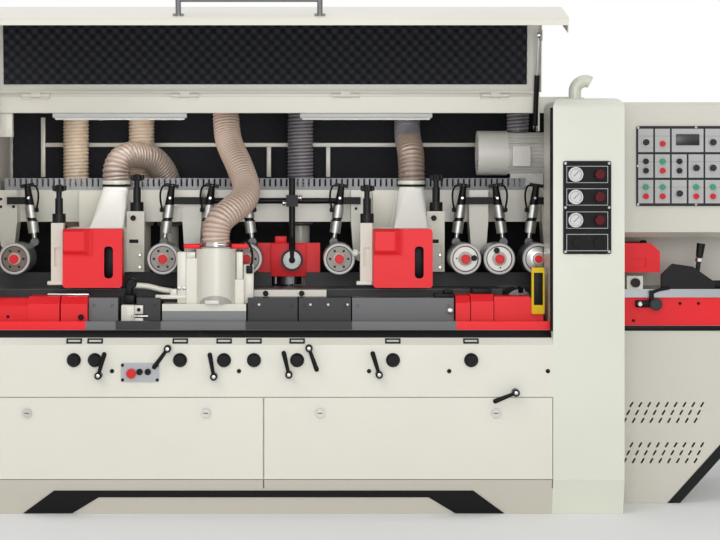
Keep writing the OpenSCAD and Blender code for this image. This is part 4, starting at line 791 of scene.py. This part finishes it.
class MOULDER_OT_dials(PieceOperator):
    """Make the gauges' dials, the panel's display and the wheel's dial"""
    bl_idname = "moulder.dials"
    bl_label = "Dials"

    def build(self, c, sizes):
        def dial(name, x, z, r, base):
            """A pale face with twenty ticks near the rim, bare at the bottom."""
            f = Finish(name, base, 0.4)
            dx, dz = f.x - x, f.z - z
            r2 = dx.power(2.0) + dz.power(2.0)
            turn = f.node("ShaderNodeMath", {"operation": "ARCTAN2"}, {0: dx, 1: dz})
            tick = (turn * (20.0 / TAU) + 0.5).fraction().between(0.42, 0.58)
            band = (r2 > (0.74 * r) ** 2) * (r2 < (0.92 * r) ** 2)
            f.layer(tick * band * (turn.math("ABSOLUTE", turn) < 2.3), (0.02, 0.02, 0.02), 0.5)
            return f.done(f.noise(500.0), 0.0001, 0.2), "silver"

        chrome = metal("bezel_chrome", (0.36, 0.36, 0.365), 0.3), "chrome"
        needle = plastic("needle_plastic", c["black"], 0.4), "black_plastic"
        line = plastic("line_print", (0.55, 0.55, 0.55), 0.5), "silver"
        knob = plastic("regulator_plastic", (0.085, 0.006, 0.011), 0.35), "black_plastic"
        bezel = [(-0.011, 0.0302), (0.005, 0.0315), (0.0075, 0.03), (0.0075, 0.0262), (0.006, 0.0258),
                 (-0.011, 0.0302)]
        for i, z in enumerate(GAUGE_Z + (1.13,)):
            at, number, tip = (GAUGE_X, GAUGE_Y, z), "_%d" % (i + 1), GAUGE_Y - 0.0022
            if z in GAUGE_Z:
                make("gauge_dial" + number, [lathe(at, FORWARD, [(0.0002, 0.0258), (0.0012, 0.0258)], 40)],
                     dial("dial_face" + number, GAUGE_X, z, 0.026, (0.62, 0.62, 0.61)))
                make("gauge_bezel" + number, [lathe(at, FORWARD, bezel, 40)], chrome)
                make("gauge_needle" + number, [tube([(GAUGE_X + d, tip, z + d) for d in (-0.008, 0, 0.014)],
                                                    0.0009, 6)], needle)
                make("regulator_knob" + number, [stud((1.389, -0.5802, z), 0.0212, 0.01, 0.013, 0.018, 24)], knob)
            make("gauge_frame" + number, [frame_strip((1.3405, GAUGE_FACE, z), 0.172, 0.07, 0.0022, 0.0006)], line)
        glass = smooth("display_glass", (0.006, 0.006, 0.008), 0.3, 40.0, 0.1, 300.0, 0.0001, 0.1)
        make("panel_display", [bar((1.766, -0.244, 1.538), (1.866, PANEL_FACE, 1.586))], (glass, "black_plastic"))
        collar = lathe((0, 0, 0), FORWARD, [(0.0, 0.0145), (0.0, 0.019), (0.005, 0.0175), (0.005, 0.0145),
                                            (0.0, 0.0145)], 28)
        spots = [(PANEL_X + (col - 3) * TILE_W, PANEL_FACE, PANEL_Z + (row - 1) * TILE_H - 0.008)
                 for row, col in ((0, 2), (0, 5), (1, 3), (1, 4), (1, 6), (2, 4), (2, 5), (2, 0))]
        make("selector_collars", [repeat(collar, spots)], (metal("selector_steel", (0.42, 0.42, 0.42), 0.3), "steel"))
        make("wheel_dial", [stud((WHEEL_X, -0.0602, WHEEL_Z), 0.0385, 0.004, 0.005, 0.037, 40)],
             dial("wheel_face", WHEEL_X, WHEEL_Z, 0.038, (0.7, 0.71, 0.69)))
        make("wheel_hub", [lathe((WHEEL_X, -0.0648, WHEEL_Z), FORWARD,
                                 [(0.0, 0.014), (0.012, 0.013), (0.014, 0.01)], 28),
                           tube([(WHEEL_X, -0.038, 1.134), (WHEEL_X, -0.056, 1.106), (WHEEL_X, -0.069, 1.078),
                                 (WHEEL_X, -0.071, 1.04)], 0.009, 14)], needle)


class MOULDER_OT_front(PieceOperator):
    """Make the small plates, the seal trims and the detector on the front"""
    bl_idname = "moulder.front"
    bl_label = "Front trim"

    def build(self, c, sizes):
        black = plastic("frame_plastic", c["black"], 0.4), "black_plastic"
        white = plastic("card_plastic", (0.62, 0.61, 0.57), 0.5), "silver"
        yellow = plastic("detector_yellow", (0.78, 0.56, 0.02), 0.35), "black_plastic"
        # The base's slanted top edge: along it, up it and out of it
        along, up = np.array([1.0, 0, 0]), np.array([0, 0.045, 0.058]) / math.hypot(0.045, 0.058)
        out = np.cross(along, up)
        mids = [np.array([0.0, -0.5385, 0.7198]) + [x, 0, 0] + 0.0001 * out for x in CAP_X]
        card = bar((-0.026, -0.006, 0.0), (0.026, 0.006, 0.002), 0.0008)
        rim = bar((-1.196, 0.0, 0.0), (1.196, 0.036, 0.003), 0.001)
        edge = np.array([0.0, -0.505, 0.763]) - 0.0372 * up + 0.0002 * out
        make("cap_plates", [frame_strip(mid, 0.064, 0.024, 0.006, 0.004, along, up) for mid in mids], black)
        make("bed_edge", [turned(rim, edge, along, up)], black)
        make("apron_strip", [bar((1.4966, -0.2352, 0.741), (2.166, -0.2302, 0.7626), 0.0015)], black)
        make("cap_cards", [turned(card, mid, along, up) for mid in mids], white)
        make("detector_case", [bar((1.128, -0.4, 0.822), (1.184, -0.3754, 1.02), 0.006, 2)], yellow)
        make("detector_label", [bar((1.137, -0.4025, 0.862), (1.175, -0.3998, 0.998), 0.001, 2)], black)


class MOULDER_OT_clamps(PieceOperator):
    """Make the clamps, levers, knobs and small brackets around the heads and the table"""
    bl_idname = "moulder.clamps"
    bl_label = "Clamps"

    def build(self, c, sizes):
        black = plastic("clamp_plastic", c["black"], 0.36), "black_plastic"
        cream = paint("bracket_paint", c["cream"]), "cream_paint"
        red = paint("tab_paint", c["red"], 0.38, coat=0.0, gloss=0.22), "red_paint"
        steel = metal("clamp_steel", (0.62, 0.62, 0.61), 0.25), "steel"
        knob = [(0.0, 0.007), (0.004, 0.007), (0.006, 0.0115), (0.014, 0.012), (0.018, 0.009)]

        # Press cylinders: a bent lever and two nuts on each
        levers, nuts = [], []
        for x, dx, s in zip(ROLLER_X, PRESS_DX, PRESS_LEAN):
            foot = np.array([x + dx, 0.048, ROLLER_Z + 0.066])
            along = np.array([-s * math.sin(LEAN), 0.0, math.cos(LEAN)])
            end = foot + 0.252 * along + np.array([s * 0.028, -0.004, 0.0])
            bend = [(0, 0, 0), (s * 0.012, -0.006, -0.004), (s * 0.022, -0.01, -0.03),
                    (s * 0.022, -0.01, -0.066), (s * 0.016, -0.01, -0.098)]
            levers.append(tube(end + np.array(bend), 0.0045, 10))
            levers.append(lathe(end + (s * 0.0165, -0.01, -0.118), UP,
                                [(0, 0.005), (0.004, 0.009), (0.014, 0.009), (0.022, 0.005)], 14))
            nuts.append(stud(foot + 0.196 * along + (0.0, -0.0165, 0.0), 0.007, 0.005, 0.007, 0.005, 12))
            nuts.append(stud(foot + 0.252 * along + (0.0, -0.007, 0.0), 0.006, 0.004, 0.006, 0.004, 12))
        make("press_levers", levers, black)
        make("press_nuts", nuts, steel)
        make("rail_knobs", [lathe(at, FORWARD, knob, 24) for at in
                            ((0.004, -0.264, 0.904), (0.158, -0.264, 0.904), (-0.772, -0.4, 0.811))], black)
        make("rod_knobs", [lathe((0.142, 0.02, 1.31), SIDE, knob, 24),
                           lathe((0.09, 0.0, 1.288), (-1, 0, 0), knob, 24)], steel)

        # Side hood and the guard behind the wheel
        make("hood_tabs", [bar((x, -0.345, 1.0972), (x + 0.071, -0.295, 1.118), 0.005)
                           for x in (-0.343, -0.14)], red)
        make("fence_guard", [bar((0.022, 0.02, 0.962), (0.178, 0.027, 1.108), 0.003),
                             bar((0.022, 0.024, 0.984), (0.03, 0.0498, 1.108), axis=2),
                             bar((0.17, 0.024, 0.984), (0.178, 0.0498, 1.108), axis=2),
                             bar((0.022, 0.024, 1.101), (0.178, 0.0498, 1.108)),
                             bar((0.04, 0.0502, 1.109), (0.092, 0.062, 1.14), 0.003)], red)
        make("hood_ear", [bar((-0.37, -0.346, TRAY_TOP), (-0.331, -0.296, 1.084), 0.004, 2),
                          bar((-0.09, -0.334, TRAY_TOP), (-0.046, -0.29, 1.03), 0.004, 2),
                          bar((-0.3306, -0.349, 1.0574), (-0.2932, -0.329, 1.084), 0.003),
                          bar((-0.1188, -0.349, 0.9674), (-0.0915, -0.329, 1.084), 0.003, 2)], cream)
        make("hood_bolts", [stud((x, -0.346, 0.93), 0.008, 0.004, 0.006, 0.005, 14) for x in (-0.361, -0.34)],
             steel)
        cable = [(-0.092, -0.318, 1.1182), (-0.086, -0.32, 1.128), (-0.068, -0.326, 1.12),
                 (-0.054, -0.332, 1.09), (-0.052, -0.336, 1.052), (-0.058, -0.338, 1.024)]
        make("hood_cable", [tube(cable, 0.005, 10), bar((-0.078, -0.352, 0.992), (-0.05, -0.3338, 1.026), 0.004, 2)],
             black)
        make("hood_foot", [bar((-0.25, -0.414, 0.8654), (-0.19, -0.4, 0.882), axis=2)], cream)

        # Guide beside the hood, and clamps on the covers
        make("guide_block", [bar((-0.606, -0.372, BASE_TOP), (-0.548, -0.29, 0.86), 0.004, 2),
                             bar((-0.548, -0.386, 0.822), (-0.512, COVER_FACE, 0.86), 0.003),
                             bar((-0.548, -0.386, 0.768), (-0.512, COVER_FACE, 0.806), 0.003)], cream)
        make("guide_rod", [tube([(-0.562, -0.379, 0.814), (-0.53, -0.38, 0.814), (-0.492, -0.38, 0.814)],
                                0.004, 10)], steel)
        barrel = [(0.0, 0.018), (0.004, 0.022), (0.052, 0.022), (0.056, 0.018)]
        plugs = [lathe((-0.53, -0.386, z), FORWARD, [(0.0, 0.008), (0.002, 0.008)], 16) for z in (0.841, 0.787)]
        make("guide_clamp", [bar((-0.598, -0.332, 0.86), (-0.552, -0.244, 0.902), 0.006),
                             bar((-0.592, -0.318, 0.9), (-0.566, -0.262, 0.95), 0.004, 2),
                             lathe((-0.566, -0.262, 0.948), FORWARD, barrel, 24), *plugs], black)
        make("guide_arm", [tube([(-0.556, -0.3, 0.94), (-0.5, -0.302, 0.936), (-0.44, -0.304, 0.922),
                                 (-0.388, -0.306, 0.914)], 0.012, 14),
                           bar((-0.463, -0.352, 0.884), (-0.331, -0.332, 0.902), 0.004),
                           bar((-0.4, -0.345, 0.895), (-0.372, -0.296, 0.926), 0.004, 2)], cream)
        make("shoe_plate", [bar((-0.925, -0.318, 0.8962), (-0.748, -0.246, 0.906), 0.003)], steel)
        make("cover_clamps", [bar((0.88, -0.362, 0.906), (0.962, -0.262, 0.93), 0.004),
                              bar((0.72, -0.368, 0.89), (0.804, -0.3, 0.908), 0.004),
                              bar((0.76, -0.352, 0.906), (0.8, -0.31, 0.924), 0.004),
                              bar((1.897, -0.218, 0.92), (1.985, -0.18, 0.956), 0.01)], black)
        make("cover_knob", [lathe((0.786, -0.37, 0.836), FORWARD,
                                  [(0, 0.008), (0.01, 0.008), (0.012, 0.012), (0.02, 0.012), (0.022, 0.009)], 20)],
             steel)

        # Infeed table, column and corner
        make("infeed_clamp", [bar((1.592, -0.25, 0.842), (1.672, APRON_FACE, 0.872), 0.006),
                              bar((1.65, -0.262, 0.87), (1.668, -0.232, 0.915), 0.004, 2),
                              tube([(1.66, -0.256, 0.906), (1.69, -0.258, 0.918), (1.735, -0.258, 0.926)], 0.007),
                              lathe((1.64, -0.15, 1.1162), UP, [(0, 0.016), (0.006, 0.015), (0.012, 0.01)], 20)],
             black)
        make("infeed_wheel", [lathe((1.678, APRON_FACE, 0.856), FORWARD,
                                    [(0, 0.012), (0.012, 0.012), (0.014, 0.026), (0.034, 0.027), (0.038, 0.022)], 28)],
             (plastic("wheel_plastic", (0.05, 0.05, 0.055), 0.45), "black_plastic"))
        tilt = np.array([math.sin(LEAN), 0.0, math.cos(LEAN)])
        make("infeed_nuts", [stud((1.61, -0.25, 0.857), 0.011, 0.005, 0.008, 0.008, 16),
                             lathe(np.array([1.864, -0.203, 0.99]) + 0.046 * tilt, tilt,
                                   [(0, 0.014), (0.002, 0.016), (0.016, 0.016), (0.018, 0.014)], 6)], steel)
        make("column_gasket", [bar((1.19, -0.549, BASE_TOP), (1.1998, -0.521, 1.69), 0.003, 2)],
             (plastic("gasket_rubber", c["black"], 0.6), "black_plastic"))
        make("corner_block", [bar((-1.186, -0.082, 1.577), (-1.106, -0.042, 1.6818), 0.003, 2)], cream)
        for k, (x, z) in enumerate(LEVERS):
            make("lever_boss_%d" % (k + 1), [stud((x, -0.6024, z), 0.008, 0.0015, 0.0025, 0.0065, 20)], steel,
                 "lever_%d" % (k + 1))

        # Top heads
        for which, x in HEADS.items():
            body = "head_" + which
            grip = np.array([x + 0.069, -0.292, 1.039])
            make("grip_cup_" + which, [frame_strip(grip, 0.05, 0.15, 0.003, 0.0466),
                                       bar(grip - (0.025, 0.0, 0.075), grip + (0.025, 0.003, 0.075), 0.001)],
                 black, body)
            left, right, low, high = -0.124, -0.003, 1.071, 1.179
            u, v = field(left, right, low, high, 0.003)
            ramp = np.clip(np.minimum.reduce([(right - u) / 0.036, (v - low) / 0.02, (high - v) / 0.008,
                                              (u - left) / 0.006]), 0.0, 1.0)
            h = 0.0005 + 0.018 * ramp * ramp * (3.0 - 2.0 * ramp)
            boss = slab(u, v, h, lambda u, v, h: np.stack([x + u, -0.3562 - h, v], -1))
            make("hood_boss_" + which, [boss], red, body)
            make("head_foot_" + which, [bar((x - 0.196, -0.304, 0.941), (x - 0.13, -0.236, 0.957), 0.003)],
                 cream, body)
            make("head_knobs_" + which, [bar((x + 0.132, -0.0412, 1.112), (x + 0.172, -0.0398, 1.128), 0.001),
                                         lathe((x + 0.15, HEAD_FACE, 1.222), FORWARD, knob, 24)], black, body)
            make("head_bolts_" + which, [stud((x + 0.178, HEAD_FACE, z), 0.007, 0.004, 0.006, 0.005, 14)
                                         for z in (1.006, 1.06)], steel, body)
        ball = [(0.016 * (1 - math.cos(t)), max(0.016 * math.sin(t), 0.001)) for t in np.linspace(0.1, math.pi, 11)]
        make("head_ball", [lathe((0.408, -0.265, 1.078), (-1, 0, 0), [(0, 0.005), (0.008, 0.005)], 12),
                           lathe((0.404, -0.265, 1.078), (-1, 0, 0), ball, 20)],
             (plastic("ball_plastic", (0.74, 0.73, 0.68), 0.3), "silver"), "head_right")


class MOULDER_OT_stage(PieceOperator):
    """Make the floor, the light and the camera"""
    bl_idname = "moulder.stage"
    bl_label = "Stage"

    def build(self, c, sizes):
        scene = bpy.context.scene
        scene.view_settings.view_transform = "Standard"
        world = scene.world = bpy.data.worlds.new("studio")
        world.use_nodes = True
        tree = world.node_tree
        tree.nodes.clear()
        # White where it is seen or mirrored, and a softer light elsewhere
        path, seen, either, lit, white, mix, out = (tree.nodes.new("ShaderNode" + kind) for kind in (
            "LightPath", "Math", "Math", "Background", "Background", "MixShader", "OutputWorld"))
        seen.operation = either.operation = "MAXIMUM"
        for node, tone, strength in ((lit, (0.95, 0.97, 1.0, 1.0), 0.4), (white, (1.0, 1.0, 1.0, 1.0), 1.0)):
            node.inputs["Color"].default_value = tone
            node.inputs["Strength"].default_value = strength
        for source, target in ((path.outputs["Is Camera Ray"], seen.inputs[0]),
                               (path.outputs["Is Glossy Ray"], seen.inputs[1]),
                               (seen.outputs[0], either.inputs[0]),
                               (path.outputs["Is Transmission Ray"], either.inputs[1]),
                               (either.outputs[0], mix.inputs[0]), (lit.outputs[0], mix.inputs[1]),
                               (white.outputs[0], mix.inputs[2]), (mix.outputs[0], out.inputs[0])):
            tree.links.new(source, target)

        f = Finish("floor_pale", (0.93, 0.93, 0.93), 0.7)
        f.vary(0.7, 0.01)
        reach, below = np.linspace(-14, 14, 8), -0.0005
        u, v = np.meshgrid(reach, reach, indexing="ij")
        mesh = bpy.data.meshes.new("floor")
        points, faces = grid(np.stack([u, v, np.full_like(u, below)], -1))
        mesh.from_pydata(points, [], faces)
        mesh.materials.append(f.done())
        floor = bpy.data.objects.new("floor", mesh)
        scene.collection.objects.link(floor)

        def place(name, data, at, turn):
            """Puts a lamp or the camera at a point, turned by degrees."""
            holder = bpy.data.objects.new(name, data)
            holder.location = at
            holder.rotation_euler = [math.radians(a) for a in turn]
            scene.collection.objects.link(holder)
            return holder

        for name, at, turn, wide, tall, power in (
                ("key", (-3.2, -6.0, 5.2), (52, 0, -28), 4.0, 4.0, 120.0),
                ("fill", (4.2, -6.5, 3.2), (66, 0, 32), 4.0, 4.0, 34.0),
                ("front", (0.4, -8.6, 2.2), (86, 0, 0), 3.5, 3.5, 205.0),
                ("top", (0.0, -1.0, 6.0), (10, 0, 0), 5.0, 5.0, 80.0),
                ("tube_left", (-0.637, -0.07, 1.648), (50, 0, 0), 0.56, 0.03, 1.6),
                ("tube_right", (0.44, -0.07, 1.648), (50, 0, 0), 0.56, 0.03, 1.1)):
            lamp = bpy.data.lights.new(name, "AREA")
            lamp.shape = "RECTANGLE"
            lamp.energy, lamp.size, lamp.size_y = power, wide, tall
            place(name, lamp, at, turn)

        eye = bpy.data.cameras.new("front_view")
        eye.lens, eye.sensor_width = 102.55, 36.0
        eye.shift_x, eye.shift_y = 0.0833, -0.125
        scene.camera = place("front_view", eye, (0.151, -9.05, 1.389), (90, 0, 0))


STEPS = (MOULDER_OT_stage, MOULDER_OT_finishes, MOULDER_OT_hoses, MOULDER_OT_foam, MOULDER_OT_inside,
         MOULDER_OT_rollers, MOULDER_OT_dials, MOULDER_OT_front, MOULDER_OT_clamps)


class MOULDER_PT_panel(bpy.types.Panel):
    """Lists the steps that dress the moulder"""
    bl_idname = "MOULDER_PT_panel"
    bl_label = "Four sided moulder"
    bl_space_type = "VIEW_3D"
    bl_region_type = "UI"
    bl_category = "Moulder"

    def draw(self, context):
        for step in STEPS:
            self.layout.operator(step.bl_idname)
        for group in (context.scene.moulder_sizes, context.scene.moulder_colours):
            box = self.layout.box()
            for key in group.__annotations__:
                box.prop(group, key)


CLASSES = (MoulderSizes, MoulderColours) + STEPS + (MOULDER_PT_panel,)


def register():
    for cls in CLASSES:
        bpy.utils.register_class(cls)
    bpy.types.Scene.moulder_sizes = bpy.props.PointerProperty(type=MoulderSizes)
    bpy.types.Scene.moulder_colours = bpy.props.PointerProperty(type=MoulderColours)


def unregister():
    del bpy.types.Scene.moulder_colours
    del bpy.types.Scene.moulder_sizes
    for cls in reversed(CLASSES):
        bpy.utils.unregister_class(cls)


def main():
    """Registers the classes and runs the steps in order."""
    register()
    for step in STEPS:
        group, name = step.bl_idname.split(".")
        if getattr(getattr(bpy.ops, group), name)() != {"FINISHED"}:
            raise RuntimeError("%s did not finish" % step.bl_label)


if __name__ == "__main__":
    main()
